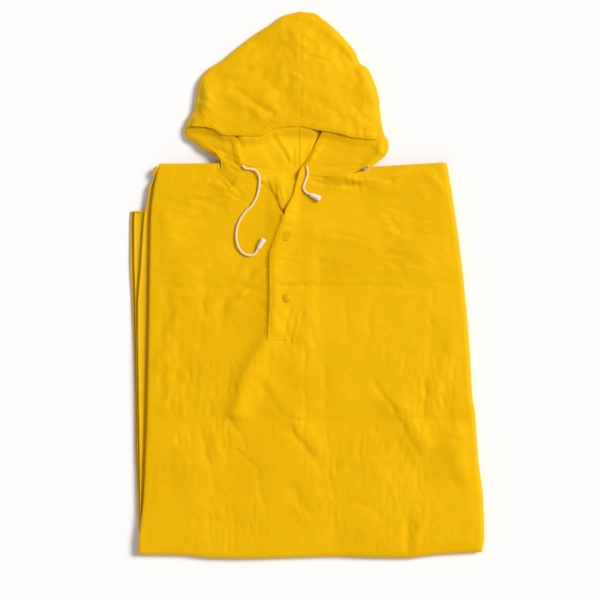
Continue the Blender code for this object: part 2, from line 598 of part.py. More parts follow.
# ---------------------------------------------------------------- hood
class HoodHalf:
    """One cut half of the hood: crown, rolled outline, back and cheek in a single sheet.

    The grid columns are the crown's ribs from the centre seam outwards, then the cells round the
    lower outline and across the cheek. The rows run up from the face hem, over the rolled outline
    and down the back to the nape.
    """

    def __init__(self, side, crown, cheek, seam):
        self.side = side
        self.crown = crown
        self.cheek = cheek
        self.seam = seam
        self.ribs = len(crown) - 1
        self.front_rows = CASING_CELLS + CROWN_CELLS
        self.back_row = self.front_rows + ROLL_CELLS
        self.last_row = self.back_row + BACK_CELLS
        self.cheek_column = self.ribs + ROLL_CELLS
        self.last_column = self.cheek_column + CHEEK_CELLS + CASING_CELLS
        outline = [Vector(row[:2]) for row in crown + cheek[1:]]
        self.normals = []
        for index in range(len(outline)):
            before = outline[max(index - 1, 0)]
            after = outline[min(index + 1, len(outline) - 1)]
            run = (after - before).normalized()
            self.normals.append(Vector((run.y, -run.x)) * (-side))
        self.normals[0] = Vector((0.0, 1.0))

    def seam_shift(self, x):
        """Keeps the two halves a clearance apart on the centre seam."""
        return max(x, SEAM_X + GAP / 2.0) if self.side > 0 else min(x, SEAM_X - GAP / 2.0)

    def rim(self, index):
        """Outline point, outward direction, floor height, top height and reach of the rolled edge."""
        table = self.crown + self.cheek[1:]
        x, y = table[index][:2]
        top = table[index][5]
        floor = along(BACK_SLOPE, y)
        return Vector((x, y)), self.normals[index], floor, top, (top - floor) / 2.0

    def roll_point(self, index, share, depth):
        """Point round the rolled outline, from its top at share 0 to its underside at share 1."""
        outline, normal, floor, top, reach = self.rim(index)
        angle = math.pi * (0.5 - share)
        place = outline - normal * reach + normal * ((reach - depth) * math.cos(angle))
        z = (top + floor) / 2.0 + ((top - floor) / 2.0 - depth) * math.sin(angle)
        return self.seam_shift(place.x), place.y, z

    def rim_centre(self, index):
        """Plan position where the rolled outline meets the flat cloth."""
        x, y, _z = self.roll_point(index, 0.0, 0.0)
        return Vector((x, y))

    def crown_point(self, column, row, depth):
        """Point of the crown between the hem and the rolled outline."""
        _x, _y, hem_x, hem_y, hem_z, rim_z = self.crown[column]
        hem = Vector((self.seam_shift(hem_x), hem_y))
        end = self.rim_centre(column)
        length = (end - hem).length
        band = min(CASING_WIDTH, length / 2.0)
        if row <= CASING_CELLS:
            share = band * row / CASING_CELLS / length
        else:
            share = mix(band / length, 1.0, (row - CASING_CELLS) / CROWN_CELLS)
        place = mix(hem, end, share)
        z = rim_z + (hem_z - rim_z) * math.sin((1.0 - share) * math.pi / 2.0)
        z += smooth_step((1.0 - share) * CROWN_SETTLE) * fold_height(CROWN_FOLDS, place.x, place.y)
        return self.seam_shift(place.x), place.y, z - depth

    def back_point(self, column, row, depth):
        """Point of the back, between the rolled outline and the nape."""
        share = 1.0 - (1.0 - (row - self.back_row) / BACK_CELLS) ** NAPE_CROWDING
        across = column / self.ribs
        nape = Vector((SEAM_X, NAPE_Y))
        notch = self.rim_centre(self.ribs + BACK_CELLS)
        foot = mix(nape, notch, across)
        place = mix(self.rim_centre(column), foot, share)
        follow = self.rim_centre(self.ribs + row - self.back_row)
        place += (follow - mix(self.rim_centre(self.ribs), notch, share)) * across ** BACK_FOLLOW
        return self.seam_shift(place.x), place.y, along(BACK_SLOPE, place.y) + depth

    def cheek_point(self, column, row, depth):
        """Point of the cheek, between the rolled outline and the face edge."""
        index = row - self.back_row
        _x, _y, face_x, face_y, face_z, rim_z = self.cheek[index]
        step = column - self.cheek_column
        if index == BACK_CELLS and step > 0:
            x, y = self.seam[step]
            return x, y, panel_top(x, y) - depth
        start = self.rim_centre(self.ribs + index)
        face = Vector((face_x, face_y))
        band = CASING_WIDTH / (face - start).length
        if step <= CHEEK_CELLS:
            share = (1.0 - band) * step / CHEEK_CELLS
        else:
            share = 1.0 - band * (CHEEK_CELLS + CASING_CELLS - step) / CASING_CELLS
        place = mix(start, face, share)
        sag = (index / BACK_CELLS) ** CHEEK_SAG_POWER
        seam_step = Vector(self.seam[step])
        straight = mix(self.rim_centre(self.ribs + BACK_CELLS), Vector(self.seam[-1]), share)
        if 0 < step:
            place += (seam_step - straight) * sag * math.sqrt(math.sin(share * math.pi / 2.0))
        return place.x, place.y, mix(rim_z, face_z, math.sin(share * math.pi / 2.0)) - depth

    def point(self, column, row, depth):
        """Point of the sheet at a depth inside its outer face."""
        if column > self.cheek_column:
            return self.cheek_point(column, row, depth)
        if column > self.ribs:
            share = 1.0 - (column - self.ribs) / ROLL_CELLS
            place = self.roll_point(self.ribs + row - self.back_row, share, depth)
            if row == self.back_row:
                lower = Vector(self.roll_point(self.ribs + 1, share, depth))
                place = mix(Vector(place), lower, CORNER_OPENING)
            return place
        if row <= self.front_rows:
            return self.crown_point(column, row, depth)
        if row < self.back_row:
            return self.roll_point(column, (row - self.front_rows) / ROLL_CELLS, depth)
        return self.back_point(column, row, depth)

    def cells(self):
        """Cells of the crown, roll and back, and the cheek that hangs on them."""
        cells = [(column, row) for column in range(self.ribs) for row in range(self.last_row)]
        cells += [(column, row) for column in range(self.ribs, self.last_column)
                  for row in range(self.back_row, self.last_row)]
        return cells

    def make(self, name):
        """The half as one wall."""
        return wall_object(name, self.cells(), lambda c, r: self.point(c, r, 0.0),
                           lambda c, r: self.point(c, r, WALL), "cloth_outside")

    def make_cheek_casing(self, name, short_by):
        """Hem tunnel along the cheek's face edge, from the forehead casing down to the cord's exit."""
        first_column = self.cheek_column + CHEEK_CELLS
        rows = range(self.back_row + CASING_CELLS, self.last_row - short_by)

        def height(column):
            return CHEEK_CASING_CROWN if column == first_column + 1 else CASING_EDGE

        cells = [(column, row) for column in range(first_column, self.last_column) for row in rows]
        return wall_object(name, cells, lambda c, r: self.point(c, r, -GAP - height(c)),
                           lambda c, r: self.point(c, r, -GAP), "cloth_outside")


def make_face_casing(left, right):
    """Hem tunnel over the forehead, from one corner of the face opening to the other."""
    def point(column, row, depth):
        if column <= 0:
            return left.point(-column, row, depth)
        return right.point(column, row, depth)

    def height(row):
        return CASING_CROWN if row == 1 else CASING_EDGE

    cells = [(column, row) for column in range(-left.ribs, right.ribs) for row in range(CASING_CELLS)]
    return wall_object("face_casing", cells, lambda c, r: point(c, r, -GAP - height(r)),
                       lambda c, r: point(c, r, -GAP), "cloth_outside", mirrored_below=0)


# ---------------------------------------------------------------- turned pieces
def turned_mesh(name, profile, radius, height, steps):
    """Closed solid of revolution about Z from a profile in shares of its radius and height."""
    work = bmesh.new()
    points = [work.verts.new((radius * out * MM, 0.0, height * up * MM)) for out, up in profile]
    edges = [work.edges.new(pair) for pair in zip(points, points[1:])]
    bmesh.ops.spin(work, geom=points + edges, cent=(0, 0, 0), axis=(0, 0, 1), angle=2.0 * math.pi,
                   steps=steps, use_merge=True)
    bmesh.ops.remove_doubles(work, verts=work.verts, dist=1e-6)
    bmesh.ops.recalc_face_normals(work, faces=work.faces)
    mesh = bpy.data.meshes.new(name)
    work.to_mesh(mesh)
    work.free()
    return mesh


def make_snap_cap(name, x, y, seat_z):
    """Domed cap of the lower press snap."""
    mesh = turned_mesh(name, SNAP_CAP_PROFILE, SNAP_CAP_DIAMETER / 2.0, SNAP_CAP_HEIGHT, SNAP_STEPS)
    item = add_object(name, mesh, "snap_yellow")
    item.location = Vector((x, y, seat_z)) * MM
    return item


def make_snap_back(name, x, y, seat_z):
    """Low ring of the upper press snap, dished in the middle."""
    mesh = turned_mesh(name, SNAP_BACK_PROFILE, SNAP_BACK_DIAMETER / 2.0, SNAP_BACK_HEIGHT, SNAP_STEPS)
    item = add_object(name, mesh, "snap_yellow")
    item.location = Vector((x, y, seat_z)) * MM
    return item


def make_bell(name, start, end):
    """Bell-shaped cord end, its narrow mouth towards the cord."""
    mesh = turned_mesh(name, BELL_PROFILE, BELL_MOUTH_DIAMETER / 2.0, BELL_LENGTH, BELL_STEPS)
    item = add_object(name, mesh, "bell_white")
    direction = (Vector(end) - Vector(start)).normalized()
    item.rotation_mode = "QUATERNION"
    item.rotation_quaternion = direction.to_track_quat("Z", "Y")
    item.location = (Vector(start) + direction * BELL_CLEARANCE) * MM
    return item


def smooth_route(route, step):
    """Points every step along a smooth curve through the route's points."""
    knots = [Vector(point) for point in route]
    ends = [knots[0] * 2.0 - knots[1]] + knots + [knots[-1] * 2.0 - knots[-2]]
    dense = []
    for p0, p1, p2, p3 in zip(ends, ends[1:], ends[2:], ends[3:]):
        for part in range(CORD_SAMPLES):
            t = part / CORD_SAMPLES
            dense.append(0.5 * ((2.0 * p1) + (p2 - p0) * t + (2.0 * p0 - 5.0 * p1 + 4.0 * p2 - p3) * t * t
                                + (3.0 * p1 - p0 - 3.0 * p2 + p3) * t ** 3))
    dense.append(knots[-1])
    length = sum((b - a).length for a, b in zip(dense, dense[1:]))
    spans = max(2, round(length / step))
    points, walked, target = [dense[0]], 0.0, length / spans
    for a, b in zip(dense, dense[1:]):
        run = (b - a).length
        while len(points) < spans and walked + run >= target:
            points.append(mix(a, b, (target - walked) / run))
            target += length / spans
        walked += run
    points.append(dense[-1])
    return points


def make_cord(name, route):
    """Round drawcord along its route, with closed ends."""
    curve = bpy.data.curves.new(name, "CURVE")
    curve.dimensions = "3D"
    curve.bevel_depth = CORD_DIAMETER / 2.0 * MM
    curve.bevel_resolution = 2
    curve.use_fill_caps = True
    points = smooth_route(route, CORD_POINT_STEP)
    spline = curve.splines.new("POLY")
    spline.points.add(len(points) - 1)
    for spot, point in zip(spline.points, points):
        spot.co = (*(point * MM), 1.0)
    curve.materials.append(finish("cord_white"))
    item = bpy.data.objects.new(name, curve)
    bpy.context.collection.objects.link(item)
    return item


def placket_seat(x, y):
    """Height of the placket band's outer face."""
    return panel_top(x, y) + GAP + WALL


def main():
    """Builds every piece of the folded poncho."""
    for item in list(bpy.data.objects):
        bpy.data.objects.remove(item, do_unlink=True)
    make_hidden_folds()
    make_front_panel()
    make_placket_over()
    make_placket_under()
    make_back_neck()
    left = HoodHalf(-1, LEFT_CROWN, LEFT_CHEEK, NECK_SEAM_LEFT)
    right = HoodHalf(1, RIGHT_CROWN, RIGHT_CHEEK, NECK_SEAM_RIGHT)
    left.make("hood_left")
    right.make("hood_right")
    make_face_casing(left, right)
    left.make_cheek_casing("face_casing_left", short_by=2)
    right.make_cheek_casing("face_casing_right", short_by=1)
    (cap_name, cap_x, cap_y), (back_name, back_x, back_y) = SNAPS
    make_snap_cap(cap_name, cap_x, cap_y, placket_seat(cap_x, cap_y) + SNAP_SEAT)
    make_snap_back(back_name, back_x, back_y, placket_seat(back_x, back_y) + SNAP_SEAT)
    make_cord("drawcord_left", LEFT_CORD)
    make_cord("drawcord_right", RIGHT_CORD)
    make_bell("bell_left", LEFT_CORD[-1], LEFT_BELL_END)
    make_bell("bell_right", RIGHT_CORD[-1], RIGHT_BELL_END)


main()
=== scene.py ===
"""Looks of a rain poncho in coated cloth, folded and laid flat with its hood spread.

Tables hold millimetres unless a comment says metres, and MM turns them into metres.
+X is the right as seen from above, +Y points to the hood and +Z is up out of the cloth.
"""

import logging
import math
from bisect import bisect_left
from collections.abc import Callable, Iterable, Sequence
from dataclasses import dataclass, field
from enum import Enum, IntEnum
from typing import Any, ClassVar, TypeVar

import bmesh
import bpy
from mathutils import Matrix, Vector, noise


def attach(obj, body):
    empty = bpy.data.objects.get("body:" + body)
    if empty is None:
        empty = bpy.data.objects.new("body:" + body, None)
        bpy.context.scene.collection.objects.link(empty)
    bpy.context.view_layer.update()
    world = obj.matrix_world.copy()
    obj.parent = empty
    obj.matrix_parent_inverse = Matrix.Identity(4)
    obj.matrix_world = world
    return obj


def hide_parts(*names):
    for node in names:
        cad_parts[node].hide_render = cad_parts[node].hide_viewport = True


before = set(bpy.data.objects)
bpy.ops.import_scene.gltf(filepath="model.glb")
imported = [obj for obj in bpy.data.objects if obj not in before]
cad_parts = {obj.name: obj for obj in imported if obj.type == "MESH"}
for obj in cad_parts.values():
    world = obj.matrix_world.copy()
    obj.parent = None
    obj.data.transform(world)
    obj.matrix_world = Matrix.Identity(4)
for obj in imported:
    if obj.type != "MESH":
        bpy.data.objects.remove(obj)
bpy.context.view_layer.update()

LOG = logging.getLogger("poncho")
MM = 0.001
ROOT = "root"
UP = Vector((0.0, 0.0, 1.0))
FULL_TURN = 2.0 * math.pi
TINY = 1e-6  # a distance or a part of a grid cell that counts as nothing

WALL = 1.2  # cloth wall of the solids
GAP = 0.3  # clearance between neighbouring pieces
CLOTH_WALL = 0.9  # cloth wall shown
CASING_WALL = 0.7  # the same of the hem tunnels
BACK_WALL = 0.25  # the same of the back neck
FOLDS_TOP = 17.0  # flat top of the folded layers

Pair = tuple[float, float]
Triple = tuple[float, float, float]
Colour = Triple
Rows = Sequence[Sequence[float]]
Cell = tuple[int, int]
Mesh = bmesh.types.BMesh
Socket = bpy.types.NodeSocket
Value = TypeVar("Value", float, Vector)


# ---- curves
def mix(first: Value, second: Value, share: float) -> Value:
    """Point or number that lies the given share of the way from first to second."""
    return first + (second - first) * share


def smooth_step(value: float) -> float:
    """Eased 0 to 1."""
    value = min(1.0, max(0.0, value))
    return value * value * (3.0 - 2.0 * value)


def bell_curve(distance: float) -> float:
    """1 at no distance, falling softly to 0 on both sides."""
    return math.exp(-(distance ** 2))


def plateau(value: float, low: float, high: float, fade: float) -> float:
    """1 between low and high, easing to 0 over the fade on both sides."""
    return smooth_step((value - low) / fade + 1.0) * smooth_step((high - value) / fade + 1.0)


def wander(x: float, y: float, size: float, seed: float) -> float:
    """Soft noise from about -1 to 1 with lumps of the given size."""
    return noise.noise(Vector((x / size, y / size, seed)))


def cubic(start: Value, slope_0: Value, end: Value, slope_1: Value, width: float, share: float) -> Value:
    """Point or number on the cubic between two ends with their slopes.

    Args:
        start: value at share 0.
        slope_0: slope there.
        end: value at share 1.
        slope_1: slope there.
        width: distance between the two.
        share: share of the way.

    Returns:
        The value.
    """
    s2, s3 = share * share, share ** 3
    return (start * (2.0 * s3 - 3.0 * s2 + 1.0) + slope_0 * width * (s3 - 2.0 * s2 + share)
            + end * (3.0 * s2 - 2.0 * s3) + slope_1 * width * (s3 - s2))


def hermite(points: Sequence[Vector], share: float) -> Vector:
    """Point between the middle two of four points, smooth for any spacing.

    Args:
        points: four neighbouring points.
        share: 0 at the second point and 1 at the third.

    Returns:
        The point on the curve.
    """
    before, start, end, after = points
    h0, h1, h2 = (max((two - one).length, TINY) for one, two in zip(points, points[1:]))
    run = (end - start) / h1
    slope_0 = ((start - before) / h0 * h1 + run * h0) / (h0 + h1)
    slope_1 = (run * h2 + (after - end) / h2 * h1) / (h1 + h2)
    return cubic(start, slope_0, end, slope_1, h1, share)


def through(point: Callable[[int], Vector], first: int, last: int, value: float) -> Vector:
    """Point on the smooth curve through numbered points, which is mirrored beyond its ends.

    Args:
        point: gives the point with a number.
        first: lowest number.
        last: highest number.
        value: place on the curve, a number with a fraction.

    Returns:
        The point on the curve.
    """
    low = min(max(int(value), first), last - 1)
    knots = []
    for number in range(low - 1, low + 3):
        near = min(max(number, first), last)
        knots.append(point(near) if near == number else point(near) * 2.0 - point(2 * near - number))
    return hermite(knots, value - low)


def at_index(rows: Rows, index: float) -> Vector:
    """Point on the smooth curve through a table's rows, at a row number with a fraction."""
    last = len(rows) - 1
    return through(lambda number: Vector(rows[number]), 0, last, min(max(index, 0.0), float(last)))


class Line:
    """Line through rows of key and value, smooth and without overshoot."""

    def __init__(self, rows: Iterable[Pair]) -> None:
        """Works out the slope at each row.

        Args:
            rows: pairs of key and value, in any order.
        """
        self.keys, self.values = zip(*sorted(rows))
        runs = [(v1 - v0) / (k1 - k0) for k0, k1, v0, v1 in
                zip(self.keys, self.keys[1:], self.values, self.values[1:])]
        self.slopes = [runs[0]]
        for before, after in zip(runs, runs[1:]):
            self.slopes.append(2.0 * before * after / (before + after) if before * after > 0.0 else 0.0)
        self.slopes.append(runs[-1])

    def at(self, key: float) -> float:
        """Value at a key."""
        keys, values, slopes = self.keys, self.values, self.slopes
        if key <= keys[0]:
            return values[0]
        if key >= keys[-1]:
            return values[-1]
        high = bisect_left(keys, key)
        low = high - 1
        width = keys[high] - keys[low]
        return cubic(values[low], slopes[low], values[high], slopes[high], width, (key - keys[low]) / width)


def along(table: Rows, key: float) -> float:
    """Value of a two-column table at a key, straight between its rows."""
    rows = sorted(table)
    if key <= rows[0][0]:
        return rows[0][1]
    for (key_0, value_0), (key_1, value_1) in zip(rows, rows[1:]):
        if key <= key_1:
            return value_0 + (value_1 - value_0) * (key - key_0) / (key_1 - key_0)
    return rows[-1][1]


def walked_lengths(points: Sequence[Vector]) -> list[float]:
    """Distance walked up to each point of a path."""
    lengths = [0.0]
    for one, two in zip(points, points[1:]):
        lengths.append(lengths[-1] + (two - one).length)
    return lengths


def grid_values(*stretches: tuple[float, float, int]) -> list[float]:
    """Grid values over stretches of start, end and number of cells, with the last end."""
    values = [mix(start, end, step / cells) for start, end, cells in stretches for step in range(cells)]
    return values + [float(stretches[-1][1])]


def grid_between(stops: Sequence[float], cells: Sequence[int]) -> list[float]:
    """Grid values through stops, with the number of cells from each to the next."""
    return grid_values(*zip(stops, stops[1:], cells))


# ---- reliefs
@dataclass(frozen=True)
class Patch:
    """Rectangle with soft edges."""

    left: float
    right: float
    fade_x: float
    low: float
    high: float
    fade_y: float

    def across(self, x: float) -> float:
        """1 between its left and right."""
        return plateau(x, self.left, self.right, self.fade_x)

    def at(self, x: float, y: float) -> float:
        """1 inside, easing to 0 over its fades."""
        return self.across(x) * plateau(y, self.low, self.high, self.fade_y)


@dataclass(frozen=True)
class Ease:
    """Number that eases from one value to another."""

    first: float
    second: float
    start: float
    over: float

    def at(self, value: float) -> float:
        """The number for a value, which starts to change it at start."""
        return mix(self.first, self.second, smooth_step((value - self.start) / self.over))


def nearest(x: float, y: float, x0: float, y0: float, x1: float, y1: float) -> Pair:
    """Share of the way along a straight line where it comes nearest to a point, and the distance."""
    run_x, run_y = x1 - x0, y1 - y0
    share = ((x - x0) * run_x + (y - y0) * run_y) / (run_x * run_x + run_y * run_y)
    near = min(1.0, max(0.0, share))
    return near, math.hypot(x - x0 - near * run_x, y - y0 - near * run_y)


@dataclass(frozen=True)
class SoftFold:
    """Broad even fold, as in the solids."""

    x0: float
    y0: float
    x1: float
    y1: float
    height: float
    width: float

    def at(self, x: float, y: float) -> float:
        """Height of the fold at a point."""
        _share, distance = nearest(x, y, self.x0, self.y0, self.x1, self.y1)
        return self.height * bell_curve(distance / self.width)


@dataclass(frozen=True)
class Crease(SoftFold):
    """One trough (below zero) or ridge, uneven along its length."""

    DEEPEN: ClassVar[float] = 2.2  # shown height for a table's height
    REACH: ClassVar[float] = 2.4  # widths beyond which it is not felt
    SEED: ClassVar[Pair] = (0.37, 0.61)
    # Noise along it. Rows: strength, size of the lumps, offset.
    SWAY: ClassVar[Triple] = (1.1, 24.0, 0.0)
    SWELLING: ClassVar[Triple] = (0.75, 17.0, 9.0)
    MEAN: ClassVar[float] = 0.85
    POWER: ClassVar[float] = 1.7

    def at(self, x: float, y: float) -> float:
        """Height of the crease at a point."""
        reach = self.REACH * self.width
        if not (min(self.x0, self.x1) - reach < x < max(self.x0, self.x1) + reach
                and min(self.y0, self.y1) - reach < y < max(self.y0, self.y1) + reach):
            return 0.0
        run_x, run_y = self.x1 - self.x0, self.y1 - self.y0
        length = math.hypot(run_x, run_y)
        share = ((x - self.x0) * run_x + (y - self.y0) * run_y) / (length * length)
        near = min(1.0, max(0.0, share))
        off_x, off_y = x - self.x0 - near * run_x, y - self.y0 - near * run_y
        side = (off_x * run_y - off_y * run_x) / length
        path = near * length
        seed = self.x0 * self.SEED[0] + self.y0 * self.SEED[1]
        strength, size, offset = self.SWAY
        side += strength * self.width * wander(path, offset, size, seed)
        distance = math.hypot(side, (share - near) * length) / self.width
        strength, size, offset = self.SWELLING
        uneven = self.MEAN + strength * wander(path, offset, size, seed)
        return self.DEEPEN * self.height * uneven * math.exp(-distance ** self.POWER)


@dataclass(frozen=True)
class Swell:
    """Long ridge down a line of points, steep on its left and gentle on its right.

    path: points of the crest, from the top down.
    height: height of the crest.
    steep: reach of the left flank.
    gentle: reach of the right flank.
    fade: length over which it dies away at both ends.
    """

    path: tuple[Pair, ...]
    height: float
    steep: float
    gentle: float
    fade: float = 24.0
    POWER: ClassVar[float] = 1.6  # of the steep flank, which makes the crest crisp
    REACH: ClassVar[float] = 2.6  # reaches beyond which it is not felt

    def at(self, x: float, y: float) -> float:
        """Height of the ridge at a point."""
        reach = self.REACH * max(self.steep, self.gentle)
        for line, value in zip(zip(*self.path), (x, y)):
            if not min(line) - reach < value < max(line) + reach:
                return 0.0
        best, side, place, walked = math.inf, 0.0, 0.0, 0.0
        for (x0, y0), (x1, y1) in zip(self.path, self.path[1:]):
            length = math.hypot(x1 - x0, y1 - y0)
            share, distance = nearest(x, y, x0, y0, x1, y1)
            if distance < best:
                best, place = distance, walked + share * length
                side = (y - y0) * (x1 - x0) - (x - x0) * (y1 - y0)
            walked += length
        ends = smooth_step(place / self.fade) * smooth_step((walked - place) / self.fade)
        flank = (best / self.gentle) ** 2 if side > 0.0 else (best / self.steep) ** self.POWER
        return self.height * ends * math.exp(-flank)


@dataclass
class Relief:
    """Creases, swells and rumples of one stretch of cloth.

    creases: rows of x0, y0, x1, y1, height, width.
    rumple: height of the broad soft lumps.
    crinkle: height of the small sharp crinkles.
    seed: start of the noise.
    swells: long ridges with one steep flank.
    even: whether the crinkles run the same way everywhere, and not upright lower down.
    """

    creases: Rows
    rumple: float
    crinkle: float
    seed: float
    swells: tuple[Swell, ...] = ()
    even: bool = True
    # Soft lumps. Rows: size, share of the rumple, step of the seed.
    LUMPS: ClassVar[Rows] = ((84.0, 1.0, 0.0), (37.0, 0.45, 3.0))
    # Width and length of a crinkle that stands upright, and of one that lies across.
    UPRIGHT: ClassVar[Pair] = (11.0, 34.0)
    LYING: ClassVar[Pair] = (34.0, 12.0)
    TURN: ClassVar[Pair] = (40.0, 160.0)  # y where crinkles start to turn upright, and over how much
    GATHER: ClassVar[Triple] = (120.0, 7.0, 1.4)  # crinkled areas: size, step of the seed, contrast
    CRINKLE_SEED: ClassVar[float] = 11.0
    CREST: ClassVar[float] = 0.28

    def __post_init__(self) -> None:
        """Makes the creases of the rows."""
        self.ridges = [*(Crease(*row) for row in self.creases), *self.swells]

    def at(self, x: float, y: float) -> float:
        """Height above the smooth form at a point."""
        total = sum(ridge.at(x, y) for ridge in self.ridges)
        for size, share, step in self.LUMPS:
            total += self.rumple * share * wander(x, y, size, self.seed + step)
        upright = 0.5 if self.even else smooth_step((self.TURN[0] - y) / self.TURN[1])
        across, up = (mix(one, two, 1.0 - upright) for one, two in zip(self.UPRIGHT, self.LYING))
        size, step, contrast = self.GATHER
        here = smooth_step(0.5 + contrast * wander(x, y, size, self.seed + step))
        ridge = abs(noise.noise(Vector((x / across, y / up, self.seed + self.CRINKLE_SEED))))
        return total + self.crinkle * here * (self.CREST - ridge)


# ---- finishes
class Slot(Enum):
    """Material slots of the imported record."""

    OUTSIDE = "cloth_outside"
    INSIDE = "cloth_inside"
    FOLDS = "cloth_folds"
    SNAP = "snap_yellow"
    CORD = "cord_white"
    BELL = "bell_white"


TONE_STOPS = (0.32, 0.68)  # values at which the dark and the light tone are full


class Nodes:
    """Node tree of a new material."""

    def __init__(self, material: bpy.types.Material) -> None:
        """Starts from the material's own shader."""
        material.use_nodes = True
        self.tree = material.node_tree
        self.shader = self.tree.nodes["Principled BSDF"]

    def give(self, node: bpy.types.Node, **inputs: Any) -> None:
        """Gives a node its inputs.

        Args:
            node: the node.
            **inputs: values, or sockets to link, by name with spaces written as underscores.
        """
        for key, value in inputs.items():
            socket = node.inputs[key.replace("_", " ")]
            if isinstance(value, Socket):
                self.tree.links.new(value, socket)
            else:
                socket.default_value = value

    def add(self, kind: str, **inputs: Any) -> bpy.types.Node:
        """New node of a kind with its inputs."""
        node = self.tree.nodes.new(kind)
        self.give(node, **inputs)
        return node

    def coordinates(self, kind: str) -> Socket:
        """Texture coordinates of a kind."""
        return self.add("ShaderNodeTexCoord").outputs[kind]

    def noise(self, **inputs: float) -> Socket:
        """Noise on the object's coordinates."""
        return self.add("ShaderNodeTexNoise", Vector=self.coordinates("Object"), **inputs).outputs["Fac"]

    def combine(self, operation: str, values: Sequence[Socket]) -> Socket:
        """Result of a sum on two values."""
        node = self.tree.nodes.new("ShaderNodeMath")
        node.operation = operation
        for value, socket in zip(values, node.inputs):
            self.tree.links.new(value, socket)
        return node.outputs["Value"]

    def colour(self, source: Socket, dark: Colour, light: Colour) -> None:
        """Lets a value around a half choose between two tones."""
        ramp = self.add("ShaderNodeValToRGB", Fac=source)
        for element, position, tone in zip(ramp.color_ramp.elements, TONE_STOPS, (dark, light)):
            element.position = position
            element.color = (*tone, 1.0)
        self.give(self.shader, Base_Color=ramp.outputs["Color"])

    def bump(self, *layers: tuple[Socket, float]) -> None:
        """Lays bumps over one another, each a value and its depth in metres."""
        normal = {}
        for source, depth in layers:
            bump = self.add("ShaderNodeBump", Strength=1.0, Distance=depth, Height=source, **normal)
            normal = {"Normal": bump.outputs["Normal"]}
        self.give(self.shader, **normal)


YELLOW_SHEEN = (1.0, 0.66, 0.03, 1.0)
WHITE_SHEEN = (1.0, 1.0, 1.0, 1.0)


@dataclass(frozen=True)
class Finish:
    """Base of the finishes: builds its material once and hands it out."""

    name: str
    slot: Slot
    dark: Colour
    light: Colour

    def material(self) -> bpy.types.Material:
        """The finish's material."""
        found = bpy.data.materials.get(self.name)
        if not found:
            found = bpy.data.materials.new(self.name)
            found.diffuse_color = (*self.light, 1.0)
            self.fill(Nodes(found))
        return found

    def fill(self, nodes: Nodes) -> None:
        """Adds the finish to a new material."""
        raise NotImplementedError


@dataclass(frozen=True)
class CoatedCloth(Finish):
    """Woven cloth with a satin coat: fine grain, small crinkles and slow changes of tone."""

    roughness: float = 0.46
    grain_depth: float = 0.00006
    crinkle_depth: float = 0.0006
    smoother: float = 0.05  # in the hollows of the crinkles
    rougher: float = 0.06  # on their crests

    def fill(self, nodes: Nodes) -> None:
        """Adds the finish to a new material."""
        nodes.colour(nodes.noise(Scale=7.0, Detail=4.0, Roughness=0.55), self.dark, self.light)
        crinkle = nodes.noise(Scale=62.0, Detail=3.0, Roughness=0.6, Distortion=0.7)
        weave = []
        for direction in "XY":
            wave = nodes.add("ShaderNodeTexWave", Vector=nodes.coordinates("UV"), Scale=260.0, Distortion=0.6)
            wave.bands_direction = direction
            weave.append(wave.outputs["Fac"])
        nodes.bump((crinkle, self.crinkle_depth), (nodes.combine("ADD", weave), self.grain_depth))
        rough = nodes.add("ShaderNodeMapRange", Value=crinkle, From_Min=0.3, From_Max=0.7,
                          To_Min=self.roughness - self.smoother, To_Max=self.roughness + self.rougher)
        nodes.give(nodes.shader, Roughness=rough.outputs["Result"], Specular_IOR_Level=0.5,
                   Specular_Tint=YELLOW_SHEEN)


@dataclass(frozen=True)
class Moulded(Finish):
    """Moulded plastic with a faint grain."""

    roughness: float
    grain: float = 700.0
    sheen: tuple[float, ...] = YELLOW_SHEEN
    grain_depth: float = 0.00004

    def fill(self, nodes: Nodes) -> None:
        """Adds the finish to a new material."""
        nodes.colour(nodes.noise(Scale=90.0, Detail=2.0), self.dark, self.light)
        nodes.bump((nodes.noise(Scale=self.grain, Detail=2.0), self.grain_depth))
        nodes.give(nodes.shader, Roughness=self.roughness, Specular_Tint=self.sheen)


@dataclass(frozen=True)
class BraidedCord(Finish):
    """Braided polyester cord, its strands crossing on the cord's own UV map, with painted shade in the
    grooves between them.
    """

    lean: float = 0.62  # of the strands, in radians
    strand_depth: float = 0.00025

    def fill(self, nodes: Nodes) -> None:
        """Adds the finish to a new material."""
        strands = []
        for angle in (self.lean, -self.lean):
            turn = nodes.add("ShaderNodeMapping", Vector=nodes.coordinates("UV"), Rotation=(0.0, 0.0, angle))
            wave = nodes.add("ShaderNodeTexWave", Vector=turn.outputs["Vector"], Scale=150.0)
            strands.append(wave.outputs["Fac"])
        braid_and_groove_shade = nodes.combine("MAXIMUM", strands)
        # Painted shade: the dark tone falls in the low gaps between the strands, where the bump sinks them.
        nodes.colour(braid_and_groove_shade, self.dark, self.light)
        nodes.bump((braid_and_groove_shade, self.strand_depth))
        nodes.give(nodes.shader, Roughness=0.8, Sheen_Weight=0.2)


CLOTH_OUT = CoatedCloth("coated_cloth_outside", Slot.OUTSIDE, (0.835, 0.450, 0.002), (0.890, 0.492, 0.003))
CLOTH_IN = CoatedCloth("coated_cloth_inside", Slot.INSIDE, (0.910, 0.510, 0.003), (0.950, 0.550, 0.005), 0.55)
